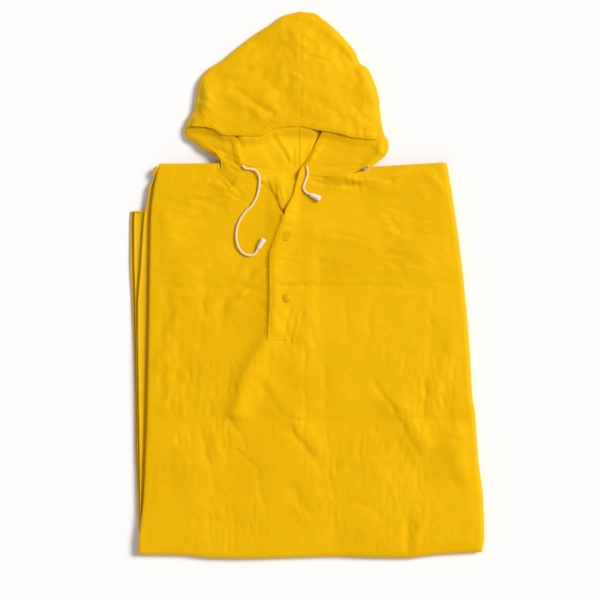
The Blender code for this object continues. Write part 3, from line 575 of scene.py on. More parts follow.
# Painted shade: the folded layers get a darker, more olive copy of the outer cloth, for the shade they lie in
# below the front panel.
CLOTH_FOLDS_SHADED = CoatedCloth("coated_cloth_folds_painted_shade", Slot.FOLDS, (0.780, 0.435, 0.005), (0.840, 0.480, 0.008))
THREAD = Moulded("sewing_thread", Slot.OUTSIDE, (0.820, 0.450, 0.006), (0.900, 0.510, 0.012), 0.6, 1500.0)
SNAP_PLASTIC = Moulded("snap_plastic", Slot.SNAP, (0.760, 0.400, 0.004), (0.820, 0.440, 0.005), 0.32)
BELL_PLASTIC = Moulded("bell_plastic", Slot.BELL, (0.82, 0.78, 0.64), (0.90, 0.87, 0.76), 0.38,
                       sheen=WHITE_SHEEN)
# The cord's dark tone is painted shade for the gaps between its strands.
CORD_BRAID = BraidedCord("braided_cord", Slot.CORD, (0.66, 0.50, 0.27), (0.90, 0.79, 0.56))


# ---- mesh building
SHARP = math.radians(50.0)


def add_object(name: str, data: bpy.types.ID,
               location: Sequence[float] = (0.0, 0.0, 0.0)) -> bpy.types.Object:
    """New object in the scene."""
    item = bpy.data.objects.new(name, data)
    item.location = location
    bpy.context.collection.objects.link(item)
    return item


def finish_object(name: str, work: Mesh, finish: Finish, *replaced: str) -> bpy.types.Object:
    """Turns a bmesh into a piece that rides on the body.

    Args:
        name: the piece's name.
        work: its bmesh, freed here.
        finish: gives its material.
        *replaced: CAD nodes that it stands for.

    Returns:
        The new object, at the origin.
    """
    mesh = bpy.data.meshes.new(name)
    work.edges.index_update()
    borders = [edge.index for edge in work.edges if edge.is_boundary]
    work.to_mesh(mesh)
    work.free()
    mesh.materials.append(finish.material())
    mesh.shade_smooth()
    mesh.set_sharp_from_angle(angle=SHARP)
    for index in borders:
        mesh.edges[index].use_edge_sharp = True
    item = add_object(name, mesh)
    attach(item, ROOT)
    if replaced:
        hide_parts(*replaced)
    LOG.info("%s: %d faces", name, len(mesh.polygons))
    return item


@dataclass(frozen=True)
class Cut:
    """How a sheet is cut, laid and built.

    flat: width and length of the flat cut in metres; not used.
    held: how it is held; not used.
    area: flat area in square metres, where the cut is no rectangle; not used.
    rests_on: pieces that it lies on.
    wall: its thickness in millimetres, added inwards, or None where the mesh has its own.
    """

    flat: Pair
    held: str
    area: float | None = None
    rests_on: tuple[str, ...] = ()
    wall: float | None = CLOTH_WALL


def finish_sheet(name: str, work: Mesh, finish: Finish, cut: Cut, *replaced: str,
                 inside: Finish | None = None) -> None:
    """Turns a bmesh into a piece of cloth.

    Args:
        name: the piece's name.
        work: its bmesh, freed here.
        finish: finish of the outer face.
        cut: its cut and its wall.
        *replaced: CAD nodes that it stands for.
        inside: finish of the inner face, or None for that of the outer face.
    """
    item = finish_object(name, work, finish, *replaced)
    if cut.wall:
        wall = item.modifiers.new("cloth_wall", "SOLIDIFY")
        wall.thickness = cut.wall * MM
        wall.offset = -1.0
        wall.use_rim = True
        if inside:
            item.data.materials.append(inside.material())
            wall.material_offset = 1
    list(cut.rests_on)


def create_cells(work: Mesh, columns: int, rows: int) -> dict[bmesh.types.BMVert, Cell]:
    """Adds a grid to a bmesh and tells each vertex's column and row."""
    bmesh.ops.create_grid(work, x_segments=columns, y_segments=rows, size=1.0)
    return {vert: (round((vert.co.x + 1.0) / 2.0 * columns), round((vert.co.y + 1.0) / 2.0 * rows))
            for vert in work.verts}


def cloth_grid(us: Sequence[float], vs: Sequence[float], place: Callable[[float, float], Vector],
               keep: Callable[[float, float], bool] | None = None,
               by_first: bool = False) -> Mesh:
    """Grid of cloth laid on a form, its outer face up.

    Args:
        us: grid values across.
        vs: grid values down.
        place: point in millimetres for a pair of grid values.
        keep: whether the cell with these middle values stays, or None for all.
        by_first: whether the first cell alone tells which face is up.

    Returns:
        The bmesh, with a UV map in metres that follows the cloth.
    """
    columns, rows = len(us) - 1, len(vs) - 1
    work = bmesh.new()
    layer = work.loops.layers.uv.new("cloth")
    spots = create_cells(work, columns, rows)
    gone = []
    if keep:
        for face in work.faces:
            column, row = (min(numbers) for numbers in zip(*(spots[vert] for vert in face.verts)))
            if not keep((us[column] + us[column + 1]) / 2.0, (vs[row] + vs[row + 1]) / 2.0):
                gone.append(face)
    points = {}
    for vert, (column, row) in spots.items():
        vert.co = points[(column, row)] = place(us[column], vs[row]) * MM
    across = walked_lengths([points[(column, rows // 2)] for column in range(columns + 1)])
    down = walked_lengths([points[(columns // 2, row)] for row in range(rows + 1)])
    for face in work.faces:
        for loop in face.loops:
            column, row = spots[loop.vert]
            loop[layer].uv = (across[column], down[row])
    bmesh.ops.delete(work, geom=gone, context="FACES")
    work.normal_update()
    work.faces.ensure_lookup_table()
    telling = work.faces[:1] if by_first else work.faces
    if sum(face.normal.z * face.calc_area() for face in telling) < 0.0:
        bmesh.ops.reverse_faces(work, faces=work.faces)
    return work


def weld(work: Mesh, capped: bool = False) -> None:
    """Joins the points that touch, caps open ends if asked and turns the faces outwards."""
    bmesh.ops.remove_doubles(work, verts=work.verts, dist=TINY)
    if capped:
        bmesh.ops.holes_fill(work, edges=[edge for edge in work.edges if edge.is_boundary], sides=0)
    bmesh.ops.recalc_face_normals(work, faces=work.faces)


def turned(profile: Iterable[Pair], size: Pair, steps: int) -> Mesh:
    """Body of revolution about the z axis.

    Args:
        profile: rows of radius and height.
        size: metres for one of each.
        steps: faces round it.

    Returns:
        The bmesh.
    """
    work = bmesh.new()
    verts = [work.verts.new((radius * size[0], 0.0, height * size[1])) for radius, height in profile]
    edges = [work.edges.new(pair) for pair in zip(verts, verts[1:])]
    bmesh.ops.spin(work, geom=verts + edges, cent=(0, 0, 0), axis=(0, 0, 1), angle=FULL_TURN, steps=steps,
                   use_merge=True)
    weld(work)
    return work


# ---- front panel
LEFT_EDGE = ((213, -258), (196, -263), (164, -269), (142, -272), (114, -274), (-26, -276.5),
             (-220, -280), (-305, -283), (-368, -286), (-418, -291), (-453, -295), (-473, -295))
NECK_LEFT_LINE = ((213, -152.6), (-480, -150))
FLAP_LEFT_LINE = ((187, -110), (175, -88), (156, -70), (133, -53), (122.5, -44.5), (100, -50),
                  (72, -60), (51, -65.5), (-17, -65.5), (-60, -67), (-96, -69), (-480, -85))
SLIT_LEFT_LINE = ((190, -98), (184, -89), (175, -75), (156, -61), (133, -47), (122.5, -40.6),
                  (100, -38.2), (-96, -37.6), (-180, -42), (-480, -48))
SLIT_RIGHT_LINE = ((201, -12), (170, -21), (161, -22.8), (122.5, -39.2), (100, -36.8), (-96, -36.2),
                   (-180, -30), (-480, -18))
STITCH_LINE = ((196, -3.5), (166, -7), (114, -7), (56, -5), (-2, -2.5), (-45, -1), (-96, -1), (-480, 20))
NECK_RIGHT_LINE = ((213, 108.5), (-480, 125))
RIGHT_EDGE = ((215, 245), (161, 254), (65, 268), (-10, 276.5), (-110, 285), (-200, 290.5),
              (-220, 294), (-305, 300.5), (-376, 309), (-441, 311), (-468, 307))
# Lines across the panel, and the cells shown from each to the next.
LINES = (LEFT_EDGE, NECK_LEFT_LINE, FLAP_LEFT_LINE, SLIT_LEFT_LINE, SLIT_RIGHT_LINE, STITCH_LINE,
         NECK_RIGHT_LINE, RIGHT_EDGE)
SHOWN = (36, 24, 9, 1, 12, 34, 52)
ROWS_SHOWN = (28, 72, 120)  # cells shown down the neck, the placket and the skirt
LEFT_SHOULDER = ((-258, 212.5), (-152.6, 213))
RIGHT_SHOULDER = ((108.5, 206.5), (245, 215))
BOTTOM_EDGE = ((-295, -473), (-220, -474), (-157, -479.5), (-98, -480), (-30, -478), (54, -476),
               (122, -478), (173, -478.5), (233, -472.5), (307, -468))
NECK_SEAM_LEFT = ((-152.6, 208), (-148, 197), (-141, 186), (-131, 181), (-121, 182.5), (-110, 186.5),
                  (-98, 190))
NECK_SEAM_RIGHT = ((108.5, 201.5), (80, 195), (50, 190), (20, 190), (-3.5, 196), (-8, 198.5), (-12, 201))
PLACKET_EDGE = (
    (201, -12), (170, -21), (161, -22.8), (140, -32), (122.5, -42), (100, -50), (72, -60), (51, -65.5),
    (-17, -65.5), (-60, -67), (-96, -69))
# Broad folds of the solids. Rows: x0, y0, x1, y1, height, half width.
SOFT_FOLDS = (
    (30, 3, 280, 6, -1.0, 16), (-270, 2, -105, -3, -0.7, 15), (-255, -236, 290, -236, -1.1, 18),
    (28, -105, 48, -470, -1.0, 18), (-68, -90, -128, -222, 2.0, 22), (152, -216, 196, -284, 1.6, 20),
    (20, 92, 110, 76, 1.5, 16), (60, 176, 206, 190, 1.6, 17), (-205, 150, -130, 168, 1.4, 17),
    (-240, 95, -190, -60, 1.2, 24), (190, 60, 236, -70, 1.3, 24), (-220, -300, -180, -420, 1.3, 24),
    (120, -330, 230, -420, 1.2, 26))
# Small creases, given one by one. Rows: x0, y0, x1, y1, height, width.
PANEL_CREASES = (
    (-49, 0, 40, -2, -0.75, 3.2), (40, -2, 163, -3, -0.6, 3), (163, -1, 276, 7, -0.55, 3.2),
    (-248, -5, -100, -4, -0.45, 5), (-49, 7, 163, 5, 0.35, 6), (-275, -238, -117, -236, -0.4, 4),
    (-65, -236, 66, -239, -0.7, 3), (66, -239, 299, -233, -0.6, 3.2), (30, -105, 32, -201, -0.35, 4),
    (30, -201, 42, -341, -0.6, 3), (42, -341, 52, -474, -0.6, 3), (35, -254, 49, -411, 0.4, 6),
    (118, -172, 152, -218, -0.7, 5), (149, -215, 200, -303, -0.6, 6), (168, -212, 215, -282, 0.6, 9),
    (-78, -179, -28, -250, -0.6, 6), (-28, -250, 20, -316, -0.8, 6), (-66, -168, 34, -300, 0.4, 10),
    (-72, 44, -165, -62, -0.8, 9), (-70, 28, -111, -26, -0.5, 5), (-80, 62, -170, -36, 0.5, 12),
    (-49, 118, -69, 54, -0.8, 4.5), (-70, 54, -70, -70, -0.5, 3.2), (-244, -13, -240, -88, -0.4, 6),
    (-240, -88, -269, -129, -0.5, 6), (-208, -125, -212, -205, -0.5, 5), (-190, -140, -196, -215, -0.4, 4),
    (-136, -237, -140, -303, -0.5, 5), (-186, -262, -161, -353, -0.5, 5), (-28, -345, 5, -402, -0.4, 6),
    (212, -121, 204, -220, -0.5, 4), (245, -121, 237, -236, -0.5, 4), (250, -262, 258, -345, -0.8, 15),
    (19, 93, 54, 89, -0.35, 3), (54, 89, 88, 82, -0.5, 3), (88, 82, 110, 77, -0.3, 3),
    (13, 178, 71, 173, -0.8, 4.5), (71, 173, 146, 186, -1.4, 5.5), (146, 186, 182, 199, -1.1, 5.5),
    (70, 186, 146, 199, 0.6, 7), (159, 205, 233, 198, 0.8, 8), (77, 191, 80, 166, -0.9, 2.2),
    (87, 191, 90, 164, -0.9, 2.2), (96, 191, 103, 168, -0.8, 2.4), (65, 187, 66, 172, -0.5, 2.2),
    (198, 208, 240, 166, 0.6, 5), (215, 210, 248, 178, -0.5, 4), (40, 173, 198, 166, 0.5, 9),
    (-161, 191, -140, 172, -1.8, 3.6), (-158, 202, -146, 186, -1.6, 4), (-168, 188, -132, 181, -1.1, 4),
    (-146, 186, -112, 160, -1.0, 4.5), (-149, 196, -131, 173, -1.2, 2.6), (-168, 184, -147, 182, -0.9, 2.8),
    (-177, 198, -154, 189, -0.7, 3), (-138, 164, -100, 140, -0.9, 4.5), (-124, 170, -89, 152, 0.6, 5),
    (-178, 170, -149, 168, -0.6, 3), (-257, 166, -163, 163, -0.45, 4), (-252, 142, -172, 149, -0.5, 5),
    (-236, 121, -178, 110, -0.4, 6), (-229, 86, -131, 74, -0.45, 6), (-205, 58, -117, 68, -0.45, 6),
    (-259, 156, -259, 40, -0.25, 2.6), (-267, 152, -269, 40, -0.5, 4.5), (-250, -12, -257, -201, -0.6, 6),
    (-271, -79, -275, -271, 0.5, 5), (-220, -26, -226, -194, -0.5, 6), (-177, -5, -187, -107, -0.45, 4),
    (-142, -26, -161, -117, -0.5, 5), (-164, 40, -187, 0, -0.4, 5), (-117, 47, -138, -9, -0.4, 6),
    (-240, -205, -224, -275, -0.5, 4), (-203, -198, -212, -257, -0.45, 4),
    (-187, -219, -177, -282, -0.5, 4), (-135, -233, -105, -284, -0.7, 4), (-124, -289, -84, -322, -0.5, 4),
    (-88, -324, -79, -380, -0.5, 5), (-177, -254, -152, -298, 0.4, 6), (-30, -42, -42, -100, -0.5, 1.9),
    (-18, -46, -32, -107, -0.5, 1.9), (-7, -46, -21, -108, -0.5, 1.9), (-38, -58, -26, -103, -0.35, 1.9),
    (-6, -107, -2, -236, -0.4, 3.5), (9, -79, 19, -131, -0.4, 4), (-68, -117, -79, -201, -0.4, 5),
    (220, -5, 215, -107, -0.4, 5), (233, -163, 243, -236, -0.6, 5), (248, -187, 254, -254, -0.4, 4),
    (114, -26, 103, -114, -0.35, 5), (66, -26, 70, -96, -0.3, 4), (-38, -320, -12, -387, -0.6, 5),
    (-28, -376, -18, -415, -0.4, 4), (180, -415, 170, -481, -1, 7), (194, -418, 191, -481, 0.6, 8),
    (46, -443, 60, -481, -0.7, 5), (-187, -411, -117, -418, -0.4, 8), (75, -376, 128, -402, -0.4, 8),
    (-12, 135, 16, 138, -0.35, 4), (19, 40, 75, 30, -0.35, 5), (128, 61, 198, 40, -0.35, 6),
    (128, 122, 149, 88, 0.5, 6), (142, 128, 161, 91, -0.4, 4))
# Long ridges: crest, height, reach of the steep and of the gentle flank.
PANEL_SWELLS = (
    Swell(((-62, -84), (-92, -124), (-112, -162), (-123, -205), (-130, -246)), 5.4, 12.0, 26.0),
    Swell(((-58, 44), (-92, 8), (-150, -50)), 2.8, 12.0, 16.0),
    Swell(((-76, -186), (-39, -236), (28, -302)), 1.7, 9.0, 24.0),
    Swell(((138, -186), (164, -228), (190, -264), (212, -304)), 2.2, 13.0, 26.0),
    Swell(((250, -226), (256, -280), (262, -356)), 4.6, 26.0, 24.0, fade=40.0),
    Swell(((-216, -30), (-236, -72), (-256, -116), (-266, -160)), 2.6, 9.0, 22.0),
    Swell(((254, -84), (240, -140), (222, -206)), 2.0, 10.0, 14.0),
    Swell(((-170, 196), (-150, 178), (-118, 150)), 2.0, 8.0, 9.0),
    Swell(((2, 198), (50, 191), (96, 181), (146, 189), (196, 210)), 6.0, 9.0, 10.0))
V_BOTTOM_Y = 122.5
PLACKET_BOTTOM_Y = -96.0
SKIRT_PROBE_Y = -470.0  # where the x of a skirt column is read
NECK_ROWS, PLACKET_ROWS, SKIRT_ROWS = 5, 9, 15
PLACKET_END = NECK_ROWS + PLACKET_ROWS
SKIRT_END = PLACKET_END + SKIRT_ROWS
SLIT_END = PLACKET_END - 1
RIGHT_FADE_X = (80.0, 110.0)  # where the fade to the right shoulder's edge sets in
# Stretches that lie higher over other pieces, and those below the cords, where nothing stands up.
NECK_PATCH = Patch(-128, 60, 40, 98, 220, 30)
PLACKET_PATCH = Patch(-52, 4, 22, -96, 110, 24)
CORD_PATCHES = (Patch(-128, -70, 8, 45, 205, 8), Patch(-8, 30, 6, 145, 205, 6))
# Climb to the placket's edge: where along it, and the reach of its right and left flanks.
EDGE_SPAN = (-74.0, 186.0, 36.0)
EDGE_RIGHT_REACH = Ease(8.0, 26.0, 150.0, -40.0)
EDGE_LEFT_REACH = Ease(9.0, 15.0, 40.0, 50.0)


class Columns(IntEnum):
    """Grid values of the panel's lines, as in the solids."""

    FIRST = 0
    LEFT_NECK = 5
    FLAP = 10
    SLIT_LEFT = 11
    SLIT_RIGHT = 12
    STITCHES = 14
    RIGHT_NECK = 18
    LAST = 24


STOPS = tuple(Columns)


@dataclass(frozen=True)
class Roll:
    """Rolled edge: reach inwards, height, last angle in degrees, cells of the solid, cells shown."""

    reach: float
    height: float
    last: float
    cells: int
    shown: int
    UNDER: ClassVar[float] = math.radians(80.0)
    NEAR: ClassVar[float] = 0.35

    def back(self, angle: float, depth: float) -> float:
        """Distance from the outermost edge at an angle round the roll."""
        return depth + (self.reach - depth) * (1.0 - math.sin(angle))

    def drop(self, angle: float, depth: float) -> float:
        """Distance below the top at an angle round the roll."""
        return depth + (self.height - depth) * (1.0 - math.cos(angle))

    def angle(self, steps: float) -> float:
        """Angle after a number of the solid's cells."""
        return math.radians(self.last) * max(0.0, steps) / self.cells

    def pillow(self, angle_0: float, angle_1: float, depth: float) -> float:
        """Drop at a corner where two like rolls meet."""
        cos_0, cos_1 = math.cos(angle_0), math.cos(angle_1)
        both = cos_0 * cos_1 if min(cos_0, cos_1) >= 0.0 else min(cos_0, cos_1)
        return depth + (self.height - depth) * (1.0 - both)

    def under(self, steps: float) -> bool:
        """Whether a cell lies on the roll's underside."""
        return self.angle(steps) > self.UNDER

    def near_edge(self, steps: float) -> bool:
        """Whether a cell lies close to the outermost edge."""
        return 1.0 - math.sin(min(self.angle(steps), math.pi / 2.0)) < self.NEAR


@dataclass
class FrontPanel:
    """Front of the poncho, with its V neck, slit and placket."""

    base_lift: float = 1.2
    neck_lift: float = 1.5
    placket_lift: float = 1.3
    edge_fade: float = 30.0
    edge_rise: float = 6.0  # height of the climb to the placket's edge
    edge_detail: float = 0.35  # share of the creases that is left at the panel's edges
    lowest: float = -0.25  # how far creases may sink
    band_press: float = 0.5  # how far the band's free edges are pressed down
    band_fades: Pair = (0.5, 0.7)  # grid cells over which that eases, beside its left edge and at its end
    band_end: float = -0.4  # how free the band's lower end is: below zero, so it is pressed more
    small_roll: Roll = Roll(5.0, 2.6, 140.0, 5, 6)
    top_roll: Roll = Roll(5.0, 2.6, 140.0, 4, 6)
    large_roll: Roll = Roll(9.0, 9.0, 130.0, 6, 9)
    folds: tuple[SoftFold, ...] = tuple(SoftFold(*row) for row in SOFT_FOLDS)
    lines: tuple[Line, ...] = tuple(Line(rows) for rows in LINES)
    bottom: Line = Line(BOTTOM_EDGE)
    placket_edge: Line = Line(PLACKET_EDGE)
    relief: Relief = field(default_factory=lambda: Relief(
        PANEL_CREASES, rumple=1.3, crinkle=1.7, seed=2.0, swells=PANEL_SWELLS, even=False))

    def rise(self, x: float, y: float) -> float:
        """How far the cloth climbs to the placket's edge, steeply on its left."""
        away = x - self.placket_edge.at(y)
        if away < 0.0:
            flank = math.exp(away / EDGE_LEFT_REACH.at(y))
        else:
            flank = bell_curve(away / EDGE_RIGHT_REACH.at(y))
        return self.edge_rise * flank * plateau(y, *EDGE_SPAN)

    def line_x(self, column: float, y: float) -> float:
        """x of a grid value across, at a height y on the sheet."""
        number = min(max(bisect_left(STOPS, column) - 1, 0), len(STOPS) - 2)
        start, end = STOPS[number:number + 2]
        x0, x1 = self.lines[number].at(y), self.lines[number + 1].at(y)
        if start == Columns.FIRST:
            x0 += self.small_roll.reach
        if end == Columns.LAST:
            x1 -= self.large_roll.reach
        return mix(x0, x1, (column - start) / (end - start))

    def seam_point(self, column: float) -> Pair | None:
        """Neck seam point for a grid value across, or None beside the neck."""
        if Columns.LEFT_NECK <= column <= Columns.SLIT_LEFT:
            return tuple(at_index(NECK_SEAM_LEFT, column - Columns.LEFT_NECK))
        if Columns.SLIT_RIGHT <= column <= Columns.RIGHT_NECK:
            x, y = at_index(NECK_SEAM_RIGHT, Columns.RIGHT_NECK - column)
            return x, y - GAP
        return None

    def shoulder_y(self, column: float) -> float:
        """y of the shoulder fold beside the neck."""
        if column <= Columns.LEFT_NECK:
            return along(LEFT_SHOULDER, self.line_x(column, LEFT_SHOULDER[0][1]))
        return along(RIGHT_SHOULDER, self.line_x(column, RIGHT_SHOULDER[1][1]))

    def bottom_y(self, column: float) -> float:
        """y of the bottom fold."""
        return self.bottom.at(self.line_x(column, SKIRT_PROBE_Y))

    def flat_point(self, column: float, row: float) -> Pair:
        """Plan position of a pair of grid values inside the rolled edges."""
        if row > PLACKET_END:
            bottom_y = self.bottom_y(column) + self.large_roll.reach
            y = mix(PLACKET_BOTTOM_Y, bottom_y, (row - PLACKET_END) / SKIRT_ROWS)
            return self.line_x(column, y), y
        if row > NECK_ROWS:
            y = mix(V_BOTTOM_Y, PLACKET_BOTTOM_Y, (row - NECK_ROWS) / PLACKET_ROWS)
            return self.line_x(column, y), y
        top = self.seam_point(column)
        if not top:
            top_y = self.shoulder_y(column) - self.top_roll.reach
            top = (self.line_x(column, top_y), top_y)
        share = row / NECK_ROWS
        y = mix(top[1], V_BOTTOM_Y, share)
        return self.line_x(column, y) + (top[0] - self.line_x(column, top[1])) * (1.0 - share) ** 2, y

    def top(self, x: float, y: float) -> float:
        """Height of the panel's outer face, creases included."""
        lift = self.base_lift + sum(fold.at(x, y) for fold in self.folds)
        lift += self.neck_lift * NECK_PATCH.at(x, y) + self.placket_lift * PLACKET_PATCH.at(x, y)
        fade = smooth_step((x - self.lines[0].at(y)) / self.edge_fade)
        fade *= smooth_step((self.lines[-1].at(y) - x) / self.edge_fade)
        fade *= smooth_step((y - self.bottom.at(x)) / self.edge_fade)
        if x < NECK_SEAM_LEFT[1][0]:
            fade *= smooth_step((LEFT_SHOULDER[0][1] - y) / self.edge_fade)
        elif x > NECK_SEAM_RIGHT[1][0]:
            shoulder = smooth_step((along(RIGHT_SHOULDER, x) - y) / self.edge_fade)
            start, end = RIGHT_FADE_X
            fade *= mix(1.0, shoulder, smooth_step((x - start) / (end - start)))
        under_cords = max(patch.at(x, y) for patch in CORD_PATCHES)
        detail = self.relief.at(x, y) * mix(self.edge_detail, 1.0, fade)
        height = max(0.0, lift) * fade + mix(detail, min(detail, 0.0), under_cords) + self.rise(x, y)
        return FOLDS_TOP + GAP + WALL + max(height, self.lowest)

    def point(self, column: float, row: float, depth: float = 0.0) -> Vector:
        """Point of the panel, or of a face parallel to it at a depth below its outer face."""
        inner_column = min(max(column, 0.0), float(Columns.LAST))
        x, y = self.flat_point(inner_column, min(max(row, 0.0), float(SKIRT_END)))
        small, top_roll, large = self.small_roll, self.top_roll, self.large_roll
        left, right = small.angle(-column), large.angle(column - Columns.LAST)
        top, low = top_roll.angle(-row), large.angle(row - SKIRT_END)
        depth_x = top_roll.drop(top, depth) if right and not low else depth
        depth_y = small.drop(left, depth) if low and not right else depth
        if top:
            y = self.shoulder_y(inner_column) - top_roll.back(top, depth)
        elif low:
            y = self.bottom_y(inner_column) + large.back(low, depth_y)
        if left:
            x = self.lines[0].at(y) + small.back(left, depth)
        elif right:
            x = self.lines[-1].at(y) - large.back(right, depth_x)
        elif top or low:
            x = self.line_x(column, y)
        if left and top:
            drop = small.pillow(left, top, depth)
        elif right and low:
            drop = large.pillow(right, low, depth)
        elif right:
            drop = large.drop(right, depth_x)
        elif low:
            drop = large.drop(low, depth_y)
        elif left:
            drop = small.drop(left, depth)
        else:
            drop = top_roll.drop(top, depth)
        return Vector((x, y, self.top(x, y) - drop))

    def band_point(self, column: float, row: float) -> Vector:
        """Point of the placket's outer band."""
        return self.point(column, row, -GAP - WALL)

    def keep(self, column: float, row: float) -> bool:
        """Whether a cell is cloth: all but the neck, the V, the slit and the gaps at two corners."""
        right, low = column - Columns.LAST, row - SKIRT_END
        if row < 0 and Columns.LEFT_NECK < column < Columns.RIGHT_NECK:
            return False
        if Columns.SLIT_LEFT < column < Columns.SLIT_RIGHT and row < SLIT_END:
            return False
        if column < 0 and row < 0:
            first, second, steps = self.small_roll, self.top_roll, (-column, -row)
        elif right > 0 and low > 0:
            first, second, steps = self.large_roll, self.large_roll, (right, low)
        else:
            return True
        return not (first.under(steps[0]) and second.near_edge(steps[1])
                    or second.under(steps[1]) and first.near_edge(steps[0]))

    def build(self) -> None:
        """Makes the panel."""
        small, top_roll, large = self.small_roll, self.top_roll, self.large_roll
        columns = grid_between((-small.cells, *STOPS, Columns.LAST + large.cells),
                               (small.shown, *SHOWN, large.shown))
        stops = (-top_roll.cells, 0.0, NECK_ROWS, PLACKET_END, SKIRT_END, SKIRT_END + large.cells)
        rows = grid_between(stops, (top_roll.shown, *ROWS_SHOWN, large.shown))
        work = cloth_grid(columns, rows, self.point, self.keep)
        cut = Cut((0.64, 0.72), "laid", area=0.43, rests_on=("folded_layer_4",))
        finish_sheet("front_panel_cloth", work, CLOTH_OUT, cut, "front_panel")

    def build_band(self) -> None:
        """Makes the placket's outer band, which closes over the slit."""
        def place(column: float, row: float) -> Vector:
            """Point of the band, pressed down at its free edges."""
            beside, below = self.band_fades
            free = smooth_step((column - Columns.FLAP) / beside) if row > NECK_ROWS else 1.0
            free *= mix(self.band_end, 1.0, smooth_step((PLACKET_END - row) / below))
            return self.band_point(column, row) - UP * self.band_press * (1.0 - free)

        def keep(column: float, row: float) -> bool:
            """Whether a cell is cloth: beside the V only what lies right of the slit."""
            return column > Columns.SLIT_RIGHT or row > NECK_ROWS

        stops = (Columns.FLAP, Columns.SLIT_LEFT, Columns.SLIT_RIGHT, Columns.STITCHES)
        rows = grid_between((0.0, NECK_ROWS, PLACKET_END), (30, 80))
        work = cloth_grid(grid_between(stops, (9, 1, 14)), rows, place, keep)
        cut = Cut((0.075, 0.31), "laid", area=0.018, rests_on=("front_panel_cloth",))
        finish_sheet("placket_band", work, CLOTH_OUT, cut, "placket_over")

    def build_under_band(self) -> None:
        """Makes the band below the slit."""
        columns = grid_between((Columns.SLIT_LEFT, Columns.SLIT_RIGHT, Columns.STITCHES), (1, 10))
        work = cloth_grid(columns, grid_values((NECK_ROWS + 1.0, SLIT_END, 50)),
                          lambda column, row: self.point(column, row, WALL + GAP))
        cut = Cut((0.04, 0.18), "laid", rests_on=("folded_layer_4",))
        finish_sheet("placket_under_band", work, CLOTH_IN, cut, "placket_under")


# ---- back neck
# Creases inside the V. Rows: x0, y0, x1, y1, height, width.
V_CREASES = (
    (-65, 168, -46, 130, -1, 2.2), (-57, 170, -43, 128, -0.9, 2), (-49, 166, -41, 130, -0.8, 1.8),
    (-72, 184, -54, 154, -0.7, 3), (-38, 191, -39, 135, -0.6, 2.4), (-52, 168, -40, 134, 0.6, 1.5),
    (-86, 172, -47, 126, -0.8, 2.8), (-46, 192, -44, 132, 0.9, 9), (-22, 178, -41, 126, -0.9, 3),
    (-46, 178, -37, 140, 0.5, 1.5), (-64, 178, -50, 140, 0.5, 1.8), (-30, 205, -35, 149, -0.6, 2.6),
    (-19, 210, -26, 173, -0.6, 2.4), (-54, 201, -47, 173, 0.5, 4), (-62, 160, -45, 128, 0.7, 2.4),
    (-53, 160, -42, 128, 0.6, 2.0))
V_PATCH = Patch(-84, -22, 12, 132, 186, 12)  # where the creases show inside the V
V_SPAN = (130.0, 179.0, 14.0)  # and where the cloth puffs up, along the V


@dataclass
class BackNeck:
    """Stretch of the back panel that lies open inside the V neck."""

    top: tuple[Pair, ...] = ((-122, 205.8), (-96, 201.4), (-54, 195.2), (-12, 189.2), (12, 191.6))
    left_edge: Line = Line(SLIT_LEFT_LINE)
    right_edge: Line = Line(SLIT_RIGHT_LINE)
    bottom_y: float = 101.0
    overlap: float = 9.0
    columns: int = 54
    rows: int = 44
    relief_limits: Pair = (-1.0, 1.9)
    over_hood: float = 0.9  # height over the hood's back
    hood_start: Pair = (6.0, 9.0)  # how far below the seam it starts to follow the hood, and over how much
    # Puff of the cloth: its height, the climb to the right edge and the reaches from the left edge, up to
    # the right edge and beyond it.
    edge_drop: float = 7.0
    edge_climb: float = 1.0
    reaches: Triple = (13.0, 7.0, 5.0)

    def puff(self, x: float, y: float) -> float:
        """Height of the cloth inside the V: tucked under its left edge, climbing to its right one."""
        inside, beyond = x - self.left_edge.at(y), x - self.right_edge.at(y)
        from_left, to_right, past_right = self.reaches
        height = self.edge_drop * (1.0 - math.exp(-max(0.0, inside) / from_left))
        if beyond > 0.0:
            height = (height + self.edge_climb) * bell_curve(beyond / past_right)
        else:
            height += self.edge_climb * math.exp(beyond / to_right)
        return height * plateau(y, *V_SPAN)

    def build(self) -> None:
        """Makes the piece."""
        relief = Relief(V_CREASES, rumple=0.5, crinkle=0.9, seed=31.0)
        low, high = self.relief_limits

        def place(column: float, row: float) -> Vector:
            """Point of the cloth for its shares across and down."""
            x = mix(self.top[0][0], self.top[-1][0], column)
            seam_y = along(self.top, x)
            y = mix(seam_y + self.overlap, self.bottom_y, row)
            lift = max(low, min(high, relief.at(x, y))) * V_PATCH.at(x, y)
            start, over = self.hood_start
            follow = smooth_step((y - seam_y + start) / over)
            slope = min(0.0, along(BACK_SLOPE, y) + self.over_hood - FOLDS_TOP - WALL) * follow
            return Vector((x, y, FOLDS_TOP + GAP + WALL + lift + self.puff(x, y) + slope))

        work = cloth_grid(grid_values((0.0, 1.0, self.columns)), grid_values((0.0, 1.0, self.rows)), place)
        cut = Cut((0.134, 0.10), "laid", rests_on=("folded_layer_4",), wall=BACK_WALL)
        finish_sheet("back_neck_cloth", work, CLOTH_IN, cut, "back_neck")


# ---- folded layers
# Rows: floor z, top z, inset of the right, bottom and top edges.
FOLDED_LAYERS = ((0.0, 4.3, 2.2, 2.0, 2.2), (4.6, 8.8, 3.8, 4.0, 0.8), (9.1, 13.0, 3.8, 4.0, 2.6),
                 (13.4, 17.0, 6.0, 6.2, 5.0))
